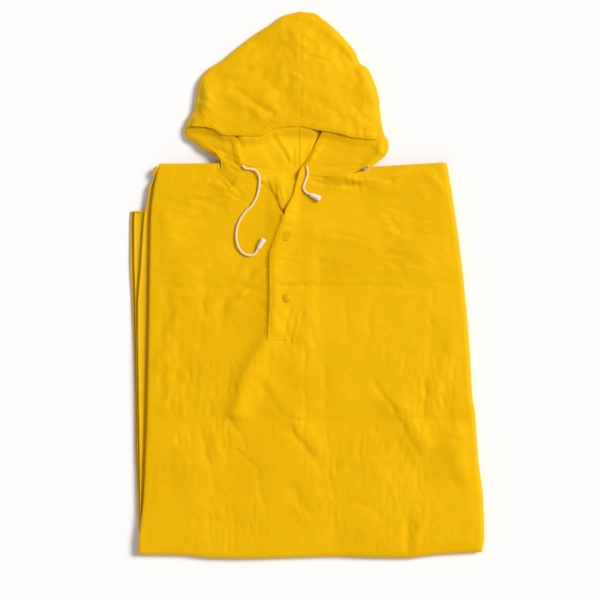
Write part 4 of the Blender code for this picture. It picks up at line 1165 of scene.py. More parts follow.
# Left edges of the three lower layers. Rows: y, x of the strip below, of the strip above it and of the fold.
LAYER_LEFT = (
    (212, -252, -254, -255), (196, -258, -260, -264), (172, -264, -266, -277), (150, -268, -270, -280),
    (136, -270, -272, -282.5), (131, -272, -274, -284), (130, -309, -303, -285),
    (112, -310.5, -304.5, -287), (35, -311, -304, -292), (-30, -307.5, -302, -297.5),
    (-114, -304.5, -300.5, -297), (-200, -302.8, -299.5, -296), (-284, -302, -299, -294.5),
    (-368, -298.4, -296.5, -293.5), (-432, -296.6, -295, -293.0), (-450, -291.0, -290.5, -290.0))
LAYER_BOTTOM_X = (-290, -240, -175, -98, -30, 54, 122, 173, 233, 288)
LAYER_RIGHT_Y = (-448, -376, -305, -210, -110, -10, 65, 161, 200)
LAYER_TOP_X = (230, 180, 120, 104, 60, 0, -60, -110, -146, -160, -205)


@dataclass
class FoldedLayers:
    """Back panel, lower half and folded-in sides below the front, each fold a soft rounded slab."""

    top_layer_inset: float = 3.8
    neck_top_y: float = 202.0
    neck_left: float = -150.0
    neck_right: float = 110.0
    step: float = 5.0
    # Rounded edge. Rows: inset, share of the layer's height.
    edge: tuple[Pair, ...] = ((2.6, 0.0), (1.1, 0.12), (0.25, 0.32), (0.0, 0.5), (0.25, 0.7), (0.8, 0.9),
                              (1.5, 1.0))
    # Hollow behind the edge. Rows: inset, share of the way down to the hollow's floor.
    hollow: tuple[Pair, ...] = ((2.2, 0.12), (3.0, 0.6), (3.8, 0.92), (6.0, 1.0))
    hollow_floor: tuple[float, ...] = (0.6, 0.5, 0.1, 1.0)
    clearance: float = 0.3
    # Uneven edge and sunken stretches of the top: depth, size, seed.
    ripple: Triple = (0.35, 46.0, 50.0)
    sink: Triple = (0.5, 60.0, 70.0)
    # Bunched tip of the inner fold. Rows: x, y, z.
    tip: Rows = ((-268.5, 191.0, 12.0), (-262.5, 208.5, 14.5))
    tip_ends: Pair = (0.06, 0.94)
    tip_radius: Pair = (3.7, 1.1)
    tip_flatness: float = 0.9
    tip_lumps: tuple[float, ...] = (6.0, 20.0, 5.0, 9.0)  # noise units round it and along it, size, seed

    def ring(self, layer: int) -> list[Vector]:
        """Outline of one layer at its outermost edge, with a point about every step."""
        _floor, _top, right_inset, bottom_inset, top_inset = FOLDED_LAYERS[layer]
        ring = []
        for y, *lefts in LAYER_LEFT:
            edge = (*lefts, along(LEFT_EDGE, y) + self.top_layer_inset)[layer]
            ring.append((edge, min(y, LEFT_SHOULDER[0][1] - top_inset)))
        start = ring[-1][0]
        limit = along(RIGHT_EDGE, RIGHT_EDGE[-1][0]) - right_inset
        ring += [(min(max(x, start), limit), along(BOTTOM_EDGE, x) + bottom_inset) for x in LAYER_BOTTOM_X]
        ring += [(along(RIGHT_EDGE, y) - right_inset, y) for y in LAYER_RIGHT_Y]
        limit = along(RIGHT_EDGE, LEFT_EDGE[0][0]) - right_inset
        for x in LAYER_TOP_X:
            if self.neck_left < x < self.neck_right:
                y = self.neck_top_y
            else:
                y = along(LEFT_SHOULDER if x < 0 else RIGHT_SHOULDER, x)
            ring.append((min(x, limit), y - top_inset))
        dense = []
        for start_point, end_point in zip(ring, ring[1:] + ring[:1]):
            parts = max(1, round(math.dist(start_point, end_point) / self.step))
            for part in range(parts):
                x, y = (mix(one, two, part / parts) for one, two in zip(start_point, end_point))
                dense.append(Vector((x, y, 0.0)))
        return dense

    def build_layer(self, layer: int) -> None:
        """Makes one layer: its rounded edge, extruded ring by ring, between two flat faces."""
        floor, top = FOLDED_LAYERS[layer][:2]
        ring = self.ring(layer)
        count = len(ring)
        inwards = []
        for index in range(count):
            run = (ring[(index + 1) % count] - ring[index - 1]).normalized()
            inwards.append(Vector((-run.y, run.x, 0.0)))
        work = bmesh.new()
        uv = work.loops.layers.uv.new("cloth")

        def spot(index: int, inset: float, share: float) -> Vector:
            """Point inset from one of the outline's, at a share of the layer's height."""
            place = ring[index] + inwards[index] * inset
            depth, size, seed = self.ripple
            ripple = depth * wander(place.x, place.y, size, seed + layer) * math.sin(math.pi * share)
            depth, size, seed = self.sink
            sink = depth * max(0.0, wander(place.x, place.y, size, seed + layer)) * (share if layer else 0.0)
            place += inwards[index] * (self.clearance + ripple) + UP * (mix(floor, top, share) - sink)
            return place * MM

        profile = self.edge + tuple((inset, mix(1.0, self.hollow_floor[layer], share))
                                    for inset, share in self.hollow)
        verts = [work.verts.new(spot(index, *profile[0])) for index in range(count)]
        edges = [work.edges.new((verts[index], verts[(index + 1) % count])) for index in range(count)]
        bmesh.ops.holes_fill(work, edges=edges, sides=0)
        for inset, share in profile[1:]:
            grown = bmesh.ops.extrude_edge_only(work, edges=edges)["geom"]
            fresh = {item for item in grown if isinstance(item, bmesh.types.BMVert)}
            verts = [next(edge.other_vert(vert) for edge in vert.link_edges
                          if edge.other_vert(vert) in fresh) for vert in verts]
            for index, vert in enumerate(verts):
                vert.co = spot(index, inset, share)
            edges = [item for item in grown if isinstance(item, bmesh.types.BMEdge)
                     and item.verts[0] in fresh and item.verts[1] in fresh]
        bmesh.ops.holes_fill(work, edges=edges, sides=0)
        bmesh.ops.recalc_face_normals(work, faces=work.faces)
        for face in work.faces:
            for loop in face.loops:
                loop[uv].uv = (loop.vert.co.x, loop.vert.co.y + loop.vert.co.z)
        cut = Cut((0.60, 0.69), "folded", area=0.38, wall=None)
        # The layers take the cloth with painted shade, a darker copy of the outer cloth.
        finish_sheet(f"folded_layer_{layer + 1}", work, CLOTH_FOLDS_SHADED, cut, "hidden_folds")

    def build_tip(self) -> None:
        """Makes the bunched tip of the inner fold beside the left shoulder."""
        start, end = (Vector(row) for row in self.tip)

        def place(turn: float, row: float) -> Vector:
            """Point of the tip for its shares round and along."""
            cos, sin = math.cos(FULL_TURN * turn), math.sin(FULL_TURN * turn)
            radius, uneven = self.tip_radius
            around, down, size, seed = self.tip_lumps
            radius += uneven * wander(around * cos, around * sin + down * row, size, seed)
            radius *= math.sin(math.pi * mix(*self.tip_ends, row)) ** 0.5
            return mix(start, end, row) + Vector((radius * cos, 0.0, self.tip_flatness * radius * sin))

        work = cloth_grid(grid_values((0.0, 1.0, 28)), grid_values((0.0, 1.0, 18)), place)
        weld(work)
        cut = Cut((0.025, 0.02), "folded", area=0.0002, rests_on=("folded_layer_3",), wall=None)
        # The tip takes the same cloth with painted shade.
        finish_sheet("folded_tip", work, CLOTH_FOLDS_SHADED, cut)

    def build(self) -> None:
        """Makes every layer."""
        for layer in range(len(FOLDED_LAYERS)):
            self.build_layer(layer)
        self.build_tip()


# ---- hood
SEAM_X = -12.0  # centre seam of the hood
NAPE_Y = 190.0  # lower end of the centre seam at the back
# Crown ribs. Rows: outline x, outline y, hem x, hem y, height at the hem, height at the rolled edge.
LEFT_CROWN = (
    (-12, 480, -12, 276.5, 27.0, 11.0), (-26.6, 477, -25, 276, 27.2, 11.0),
    (-45.5, 471, -42, 275, 27.4, 11.5), (-63, 457.6, -60, 270, 27.2, 12.0),
    (-86, 443.6, -80, 260.5, 26.6, 12.0), (-117, 420.5, -104, 260, 25.8, 12.5),
    (-149.6, 393.8, -128, 260.8, 25.0, 13.0), (-175, 377, -148, 262, 24.4, 13.5),
    (-189, 357, -162, 271, 23.8, 14.0), (-194, 331, -174, 274.7, 23.0, 14.5),
    (-198.6, 304.5, -184, 275.8, 22.0, 15.0), (-206.5, 293, -194, 276.7, 21.0, 15.0),
    (-212.5, 280, -203, 277.5, 19.5, 15.0))
RIGHT_CROWN = (
    (-12, 480, -12, 276.5, 27.0, 11.0), (2, 478.5, 0, 274.2, 27.0, 11.0),
    (14, 476.7, 12, 271.5, 27.0, 11.0), (26, 468, 24, 269, 26.8, 11.5),
    (45.5, 452.5, 38, 267, 26.6, 12.0), (68, 429.5, 52, 264.6, 26.0, 12.0),
    (84, 409.5, 66, 261, 25.4, 12.5), (94.5, 387.6, 80, 257.2, 24.6, 13.0),
    (105, 381.5, 90, 256, 24.0, 13.5), (115.5, 362, 99, 255, 23.2, 14.0),
    (125, 334, 107, 254.2, 22.4, 14.5), (128, 306, 114, 254, 21.4, 15.0),
    (132, 279, 121, 255, 20.0, 15.0))
# Cheeks. Rows: outline x, outline y, face edge x, face edge y, height at the face edge and rolled edge.
LEFT_CHEEK = (
    (-212.5, 280, -136, 270, 15.6, 15.0), (-214.4, 268, -129, 263, 16.4, 13.0),
    (-210, 257, -121.5, 255.5, 17.4, 13.0), (-203, 252.5, -116.5, 247, 18.4, 13.5),
    (-196, 249.4, -114, 239, 19.4, 14.5), (-186.6, 240, -112, 230, 20.2, 15.5),
    (-177, 234.5, -108, 220, 20.8, 16.5), (-168, 230, -103.5, 211, 21.2, 17.5),
    (-161.5, 225.5, -100, 201, 21.4, 18.5), (-154.5, 217, -98, 190, 21.5, 19.8))
RIGHT_CHEEK = (
    (132, 279, 36, 283, 15.6, 15.0), (135, 265.5, 31, 275, 16.4, 13.0),
    (141.5, 254, 26, 267, 17.4, 13.0), (143.5, 243, 21, 257.5, 18.4, 14.0),
    (142, 235, 16, 248, 19.4, 15.0), (138, 227.5, 11.5, 239.5, 20.2, 16.0),
    (132, 221.5, 7, 231, 20.8, 17.0), (125, 216.0, 1, 221, 21.2, 18.0),
    (117.5, 210.0, -5.5, 211, 21.4, 19.0), (109.5, 203.8, -12, 201, 21.5, 20.0))
BACK_SLOPE = (
    (150, 17.3), (208, 17.3), (212, 15.9), (220, 11.0), (235, 4.2), (250, 0.7), (262, 0.0), (480, 0.0))
CROWN_FOLDS = (
    (-127, 345, -60, 299, 1.8, 18), (42, 448, 94, 386, -1.6, 14), (-72, 448, -28, 428, -1.2, 18),
    (68, 371, 99, 334, 1.4, 14))
CROWN_CREASES = (
    (-88, 438, -78, 402, -0.7, 16), (2, 399, 37, 391, -0.8, 3),
    (-37, 464, 4, 459, -0.7, 3), (-127, 345, -60, 299, -1.1, 4.5), (-142, 334, -79, 292, 0.9, 7),
    (-79, 359, -40, 338, -0.9, 13), (-192, 327, -168, 315, -0.9, 5), (-180, 355, -178, 317, 0.6, 5),
    (-26, 366, -12, 360, 0.8, 3.5), (-19, 369, -32, 355, -0.6, 3), (75, 317, 116, 278, -0.6, 6),
    (-117, 394, -79, 408, 0.6, 8), (-103, 376, -51, 383, -0.5, 7), (5, 359, 40, 345, -0.5, 8),
    (-12, 332, 40, 317, -0.5, 8), (-161, 369, -131, 352, -0.5, 6), (-166, 338, -149, 303, -0.4, 5),
    (-108, 306, -79, 287, -0.5, 4), (-47, 313, -12, 301, -0.5, 6), (26, 310, 61, 292, -0.5, 6))
HEM_LINE = tuple((x, y) for _x, _y, x, y, *_heights in (*LEFT_CROWN, *RIGHT_CROWN[1:]))
HEM_HEIGHT = tuple((row[2], row[4]) for row in (*LEFT_CROWN, *RIGHT_CROWN[1:]))
# Long ridges, as on the panel.
CROWN_SWELLS = (
    Swell(((30, 456), (58, 432), (78, 412), (96, 388)), 5.4, 15.0, 9.0),
    Swell(((82, 386), (98, 364), (112, 338), (118, 308)), 5.0, 18.0, 9.0),
    Swell(((-16, 462), (-20, 440), (-26, 404)), 3.6, 34.0, 30.0),
    Swell(((-170, 358), (-174, 334), (-172, 302)), 3.4, 13.0, 16.0, fade=14.0),
    Swell(((-60, 352), (-70, 330), (-84, 306)), 1.4, 18.0, 14.0))
CHEEK_SWELLS = (
    Swell(((132, 266), (130, 246), (124, 224)), 6.0, 14.0, 6.0, fade=11.0),
    Swell(((-150, 236), (-160, 222), (-166, 210)), 1.6, 7.0, 9.0, fade=9.0))
BACK_CREASES = (
    (-60, 260, -42, 237, -1.1, 3), (-42, 237, -32, 215, -1, 3), (-52, 261, -28, 222, 0.7, 6),
    (-24, 236, -24, 170, -0.6, 2.6), (-14, 254, -13, 173, -0.5, 2.4), (-79, 254, -56, 210, -0.7, 7),
    (9, 261, -2, 226, -0.7, 5))
CHEEK_CREASES = (
    (-149, 210, -150, 191, -1.6, 2.8), (-144, 224, -116, 206, -0.8, 3),
    (-135, 205, -107, 192, -0.6, 3), (16, 236, 0, 210, 1.3, 5), (117, 238, 120, 236, -2.4, 4.5),
    (-163, 240, -124, 222, -0.6, 4), (-124, 243, -114, 208, 0.7, 5), (40, 236, 107, 222, -0.5, 7),
    (26, 205, 93, 208, -0.7, 4), (58, 254, 114, 247, 0.5, 6), (19, 198, 79, 201, -0.6, 3))
HOOD_INSIDE = Patch(-112, 8, 34, 236, 282, 34)  # where the back lies higher, seen through the face opening
CASING_ROWS = 2  # grid rows of the crown below the hem tunnel
TUNNEL_EDGE = 0.35  # height of a hem tunnel at its stitched edges
TUNNEL_ARCH = 0.7  # power of its arch
TUNNEL_MEAN, TUNNEL_UNEVEN = 0.93, 0.4
# Gathers along it. Rows: share, noise units across, size, seed.
TUNNEL_GATHERS = ((0.55, 6.0, 5.2, 80.0), (0.45, 9.0, 11.0, 81.0))


def casing_lift(share: float, path: float, crown: float) -> Vector:
    """Lift of a hem tunnel over the cloth below it.

    Args:
        share: 0 at one stitched edge and 1 at the other.
        path: distance along the tunnel in millimetres.
        crown: height over the cord inside.

    Returns:
        The lift, with the gathers of the drawn cord.
    """
    arch = math.sin(math.pi * share) ** TUNNEL_ARCH if 0.0 < share < 1.0 else 0.0
    uneven = sum(part * wander(path, share * across, size, seed)
                 for part, across, size, seed in TUNNEL_GATHERS)
    height = (crown - TUNNEL_EDGE) * arch * (TUNNEL_MEAN + TUNNEL_UNEVEN * uneven)
    return UP * (GAP + TUNNEL_EDGE + height)


@dataclass
class HoodHalf:
    """One cut half of the hood: crown, rolled outline, back and cheek in a single sheet.

    The solid's grid points carry a smooth surface, and the creases are laid on that.
    """

    side: int
    crown: Rows
    cheek: Rows
    seam: Sequence[Pair]
    panel: FrontPanel
    casing_width: float = 15.0
    crown_cells: int = 7
    roll_cells: int = 4
    back_cells: int = 9
    cheek_cells: int = 4
    nape_crowding: float = 1.4
    crown_settle: float = 4.0
    cheek_sag: Pair = (3.0, 0.5)  # powers down and across
    inside_rise: float = 15.0
    back_follow: int = 8
    hem_fill: float = 8.5  # how far the back fills the shade under the hem
    hem_gap: float = 2.2  # room left between the hem and the cheeks
    hem_depth: float = 8.0
    hem_fades: Pair = (20.0, 15.0)  # of the back and of the cheeks
    # Centre seam on the crown: groove and welt, each height, distance from the seam and reach, and where
    # along it the welt shows. Then its ridge on the inside.
    seam_groove: Triple = (-0.1, 0.0, 1.6)
    seam_welt: Triple = (0.35, 5.6, 1.3)
    welt_span: Triple = (392.0, 430.0, 8.0)
    seam_ridge: Triple = (0.9, 0.0, 1.7)
    back_lowest: float = -0.8
    # Gathers at the hem: height, noise units across and down, size, seed.
    gathers: tuple[float, ...] = (0.5, 14.0, 26.0, 9.0, 15.0)
    rim_detail: float = 0.25  # share of the crown's creases left at its rolled edge
    rim_fade: float = 1.5  # ribs over which they fade beside the last one
    nape_fade: Pair = (196.0, 20.0)  # y where the back's creases set in, and over how much
    cheek_fade: Pair = (0.2, 1.5)  # share of the cheek's creases left at its end, and over how many cells
    back_tuck: float = 0.2  # how far the back may sink below its slope
    cheek_tunnel: Pair = (12.0, 0.9)  # millimetres along the hem for one grid row, height over the cord
    cells_across: tuple[int, ...] = (84, 12, 40)
    cells_down: tuple[int, ...] = (6, 56, 14, 54)
    folds: tuple[SoftFold, ...] = tuple(SoftFold(*row) for row in CROWN_FOLDS)

    def __post_init__(self) -> None:
        """Counts the grid and finds the outline's directions and the grid points."""
        self.ribs = len(self.crown) - 1
        self.front_rows = CASING_ROWS + self.crown_cells
        self.back_row = self.front_rows + self.roll_cells
        self.last_row = self.back_row + self.back_cells
        self.cheek_column = self.ribs + self.roll_cells
        self.last_column = self.cheek_column + self.cheek_cells + CASING_ROWS
        self.outline = (*self.crown, *self.cheek[1:])
        points = [Vector(row[:2]) for row in self.outline]
        self.normals = [Vector((0.0, 1.0))]
        for before, after in zip(points, points[2:] + points[-1:]):
            run = (after - before).normalized()
            self.normals.append(Vector((run.y, -run.x)) * (-self.side))
        self.crown_relief = Relief(CROWN_CREASES, rumple=2.4, crinkle=1.7, seed=12.0, swells=CROWN_SWELLS)
        self.back_relief = Relief(BACK_CREASES, rumple=0.5, crinkle=0.9, seed=21.0)
        self.cheek_relief = Relief(CHEEK_CREASES, rumple=0.9, crinkle=1.5, seed=41.0, swells=CHEEK_SWELLS)
        self.grid = {(column, row): Vector(self.grid_point(column, row))
                     for column in range(self.last_column + 1)
                     for row in range(self.first_row(column), self.last_row + 1)}

    def first_row(self, column: int) -> int:
        """First row that a column has."""
        return 0 if column <= self.ribs else self.back_row

    def seam_shift(self, x: float) -> float:
        """Keeps each half on its own side of the centre seam."""
        return max(x, SEAM_X) if self.side > 0 else min(x, SEAM_X)

    def roll_point(self, index: int, share: float) -> Triple:
        """Point round the rolled outline, from its top at share 0 to its underside at share 1."""
        row = self.outline[index]
        outline, normal, top = Vector(row[:2]), self.normals[index], row[5]
        floor = along(BACK_SLOPE, outline.y)
        reach = (top - floor) / 2.0
        angle = math.pi * (0.5 - share)
        place = outline - normal * reach + normal * (reach * math.cos(angle))
        return self.seam_shift(place.x), place.y, (top + floor) / 2.0 + reach * math.sin(angle)

    def rim_centre(self, index: int) -> Vector:
        """Plan position where the rolled outline meets the flat cloth."""
        return Vector(self.roll_point(index, 0.0)[:2])

    def crown_point(self, column: int, row: int) -> Triple:
        """Grid point of the crown, between the hem and the rolled outline."""
        _x, _y, hem_x, hem_y, hem_z, rim_z = self.crown[column]
        hem = Vector((self.seam_shift(hem_x), hem_y))
        end = self.rim_centre(column)
        length = (end - hem).length
        band = min(self.casing_width, length / 2.0) / length
        if row <= CASING_ROWS:
            share = band * row / CASING_ROWS
        else:
            share = mix(band, 1.0, (row - CASING_ROWS) / self.crown_cells)
        place = mix(hem, end, share)
        z = rim_z + (hem_z - rim_z) * math.sin((1.0 - share) * math.pi / 2.0)
        settle = smooth_step((1.0 - share) * self.crown_settle)
        z += settle * sum(fold.at(place.x, place.y) for fold in self.folds)
        return self.seam_shift(place.x), place.y, z

    def back_point(self, column: int, row: int) -> Triple:
        """Grid point of the back, between the rolled outline and the nape."""
        share = 1.0 - (1.0 - (row - self.back_row) / self.back_cells) ** self.nape_crowding
        across = column / self.ribs
        notch = self.rim_centre(self.ribs + self.back_cells)
        foot = mix(Vector((SEAM_X, NAPE_Y)), notch, across)
        place = mix(self.rim_centre(column), foot, share)
        follow = self.rim_centre(self.ribs + row - self.back_row)
        place += (follow - mix(self.rim_centre(self.ribs), notch, share)) * across ** self.back_follow
        rise = self.inside_rise * HOOD_INSIDE.at(place.x, place.y)
        return self.seam_shift(place.x), place.y, along(BACK_SLOPE, place.y) + rise

    def cheek_point(self, column: int, row: int) -> Triple:
        """Grid point of the cheek, between the rolled outline and the face edge."""
        index = row - self.back_row
        _x, _y, face_x, face_y, face_z, rim_z = self.cheek[index]
        step = column - self.cheek_column
        if index == self.back_cells:
            x, y = self.seam[step]
            return x, y, self.panel.top(x, y)
        start = self.rim_centre(self.ribs + index)
        face = Vector((face_x, face_y))
        band = self.casing_width / (face - start).length
        if step <= self.cheek_cells:
            share = (1.0 - band) * step / self.cheek_cells
        else:
            share = 1.0 - band * (self.cheek_cells + CASING_ROWS - step) / CASING_ROWS
        straight = mix(self.rim_centre(self.ribs + self.back_cells), Vector(self.seam[-1]), share)
        rounding = math.sin(share * math.pi / 2.0)
        down, over = self.cheek_sag
        sag = (index / self.back_cells) ** down * rounding ** over
        place = mix(start, face, share) + (Vector(self.seam[step]) - straight) * sag
        return place.x, place.y, mix(rim_z, face_z, rounding)

    def grid_point(self, column: int, row: int) -> Triple:
        """Grid point of the sheet, the same as the solid's outer face."""
        if column > self.cheek_column:
            return self.cheek_point(column, row)
        if column > self.ribs:
            share = 1.0 - (column - self.ribs) / self.roll_cells
            return self.roll_point(self.ribs + row - self.back_row, share)
        if row <= self.front_rows:
            return self.crown_point(column, row)
        if row < self.back_row:
            return self.roll_point(column, (row - self.front_rows) / self.roll_cells)
        return self.back_point(column, row)

    def down_column(self, column: int, v: float) -> Vector:
        """Point on one grid column at a value down it."""
        return through(lambda row: self.grid[(column, row)], self.first_row(column), self.last_row, v)

    def smooth_point(self, u: float, v: float) -> Vector:
        """Point of the smooth surface for a pair of grid values."""
        last = self.last_column if v >= self.back_row - TINY else self.ribs
        return through(lambda column: self.down_column(column, v), 0, last, u)

    def at_seam(self, x: float, form: Triple) -> float:
        """Height of a form beside the centre seam."""
        height, distance, reach = form
        return height * bell_curve((abs(x - SEAM_X) - distance) / reach)

    def detail(self, u: float, v: float, x: float, y: float) -> float:
        """Height of the creases and rumples at a pair of grid values."""
        if u <= self.ribs and v <= self.back_row - 2:
            strength = smooth_step((self.front_rows + 1.0 - v) / 2.0)
            strength *= smooth_step((self.ribs - u) / self.rim_fade + 0.25)
            height = self.crown_relief.at(x, y) * mix(self.rim_detail, 1.0, strength)
            height += self.at_seam(x, self.seam_groove)
            height += self.at_seam(x, self.seam_welt) * plateau(y, *self.welt_span)
            near_hem = smooth_step((self.front_rows * 0.5 - v) / 2.0)
            most, across, down, size, seed = self.gathers
            return height + most * near_hem * wander(u * across, v * down, size, seed)
        if u <= self.ribs and v >= self.back_row:
            start, over = self.nape_fade
            strength = smooth_step((v - self.back_row) / 2.0) * smooth_step((y - start) / over)
            height = max(self.back_lowest, self.back_relief.at(x, y))
            return strength * (height + self.at_seam(x, self.seam_ridge))
        if u >= self.cheek_column - 1:
            strength = smooth_step((u - self.cheek_column + 1.0) / 2.0)
            left, over = self.cheek_fade
            strength *= mix(1.0, left, smooth_step((v - self.last_row + over) / over))
            return strength * self.cheek_relief.at(x, y)
        return 0.0

    def near_hem(self, place: Vector, fade: float) -> float:
        """1 under the hem of the face opening, easing to 0 over the fade below it."""
        hem_y = along(HEM_LINE, place.x)
        return plateau(place.y, hem_y, hem_y + self.hem_depth, fade)

    def surface(self, u: float, v: float) -> Vector:
        """Point of the cloth with its creases."""
        place = self.smooth_point(u, v)
        place.z += self.detail(u, v, place.x, place.y)
        if v >= self.back_row and u <= self.ribs:
            place.z += self.hem_fill * HOOD_INSIDE.across(place.x) * self.near_hem(place, self.hem_fades[0])
            place.z = max(place.z, along(BACK_SLOPE, place.y) - self.back_tuck, 0.0)
        elif u > self.cheek_column:
            room = max(0.0, along(HEM_HEIGHT, place.x) - self.hem_gap - place.z)
            place.z += room * smooth_step(u - self.cheek_column) * self.near_hem(place, self.hem_fades[1])
        return place

    def build(self, name: str, replaced: str) -> None:
        """Makes the half as one sheet."""
        us = grid_between((0.0, self.ribs, self.cheek_column, self.last_column), self.cells_across)
        vs = grid_between((0.0, CASING_ROWS, self.front_rows, self.back_row, self.last_row), self.cells_down)
        work = cloth_grid(us, vs, self.surface, lambda u, v: u < self.ribs or v > self.back_row,
                          by_first=True)
        cut = Cut((0.31, 0.42), "laid", area=0.095, rests_on=("folded_layer_4",))
        finish_sheet(name, work, CLOTH_OUT, cut, replaced, inside=CLOTH_IN)

    def build_cheek_casing(self, name: str, replaced: str, short_by: float) -> None:
        """Hem tunnel along the cheek's face edge, down to where the cord comes out."""
        first = self.cheek_column + self.cheek_cells
        pitch, height = self.cheek_tunnel

        def place(u: float, v: float) -> Vector:
            """Point of the tunnel."""
            return self.surface(u, v) + casing_lift((u - first) / CASING_ROWS, v * pitch, height)

        us = grid_values((first, first + CASING_ROWS, 12))
        vs = grid_values((self.back_row + 2.0, self.last_row - short_by, 60))
        cut = Cut((0.02, 0.06), "gathered", area=0.0011, wall=CASING_WALL)
        finish_sheet(name, cloth_grid(us, vs, place), CLOTH_OUT, cut, replaced)


@dataclass
class Hood:
    """Both halves of the hood, the hem tunnels round the face and their sewing."""

    panel: FrontPanel
    gather_pitch: float = 17.0  # millimetres along the hem for one rib of the crown
    tunnel_heights: Pair = (1.1, 1.7)  # over the cord, at the tunnel's ends and between them
    tunnel_fade: float = 0.8  # ribs over which it grows

    def __post_init__(self) -> None:
        """Sets up the two halves."""
        self.left = HoodHalf(-1, LEFT_CROWN, LEFT_CHEEK, NECK_SEAM_LEFT, self.panel)
        self.right = HoodHalf(1, RIGHT_CROWN, RIGHT_CHEEK, NECK_SEAM_RIGHT, self.panel)

    def crown_surface(self, column: float, row: float) -> Vector:
        """Point of the crown, with columns below zero on the left half."""
        return (self.right if column > 0 else self.left).surface(abs(column), row)

    def casing_point(self, column: float, row: float) -> Vector:
        """Point of the hem tunnel over the forehead."""
        crown = mix(*self.tunnel_heights, smooth_step((self.left.ribs - abs(column)) / self.tunnel_fade))
        lift = casing_lift(row / CASING_ROWS, column * self.gather_pitch, crown)
        return self.crown_surface(column, row) + lift

    def build(self) -> None:
        """Makes the hood's pieces."""
        self.left.build("hood_half_left", "hood_left")
        self.right.build("hood_half_right", "hood_right")
        columns = grid_values((-self.left.ribs, self.right.ribs, 220))
        work = cloth_grid(columns, grid_values((0.0, CASING_ROWS, 14)), self.casing_point)
        cut = Cut((0.02, 0.38), "gathered", area=0.0062, rests_on=("hood_half_left", "hood_half_right"),
                  wall=CASING_WALL)
        finish_sheet("face_hem_casing", work, CLOTH_OUT, cut, "face_casing")
        self.left.build_cheek_casing("cheek_casing_left", "face_casing_left", 2.0)
        self.right.build_cheek_casing("cheek_casing_right", "face_casing_right", 1.0)


# ---- cords and their bells
# Route points in metres.
LEFT_CORD = (
    (-0.1125, 0.2088, 0.0238), (-0.1084, 0.2038, 0.0239), (-0.1002, 0.2024, 0.0238),
    (-0.0905, 0.2004, 0.0231), (-0.0842, 0.1916, 0.0229), (-0.0834, 0.1744, 0.0237),
    (-0.0884, 0.1523, 0.0238), (-0.0966, 0.1383, 0.0238), (-0.1076, 0.1276, 0.0238),
    (-0.1173, 0.1129, 0.0238), (-0.1232, 0.0945, 0.0235), (-0.1232, 0.0788, 0.0227),
    (-0.1189, 0.0644, 0.0224), (-0.1100, 0.0548, 0.0224), (-0.0988, 0.0516, 0.0225),
    (-0.0902, 0.0556, 0.0232), (-0.0859, 0.0626, 0.0240))
RIGHT_CORD = (
    (-0.0009, 0.2080, 0.0239), (0.0006, 0.2010, 0.0239), (0.0012, 0.1936, 0.0240),
    (-0.0012, 0.1852, 0.0245), (-0.0046, 0.1772, 0.0251), (-0.0062, 0.1688, 0.0253),
    (-0.0016, 0.1616, 0.0249), (0.0046, 0.1586, 0.0248))
LEFT_BELL_END = (-0.0736, 0.0826, 0.0261)
RIGHT_BELL_END = (0.0228, 0.1502, 0.0269)


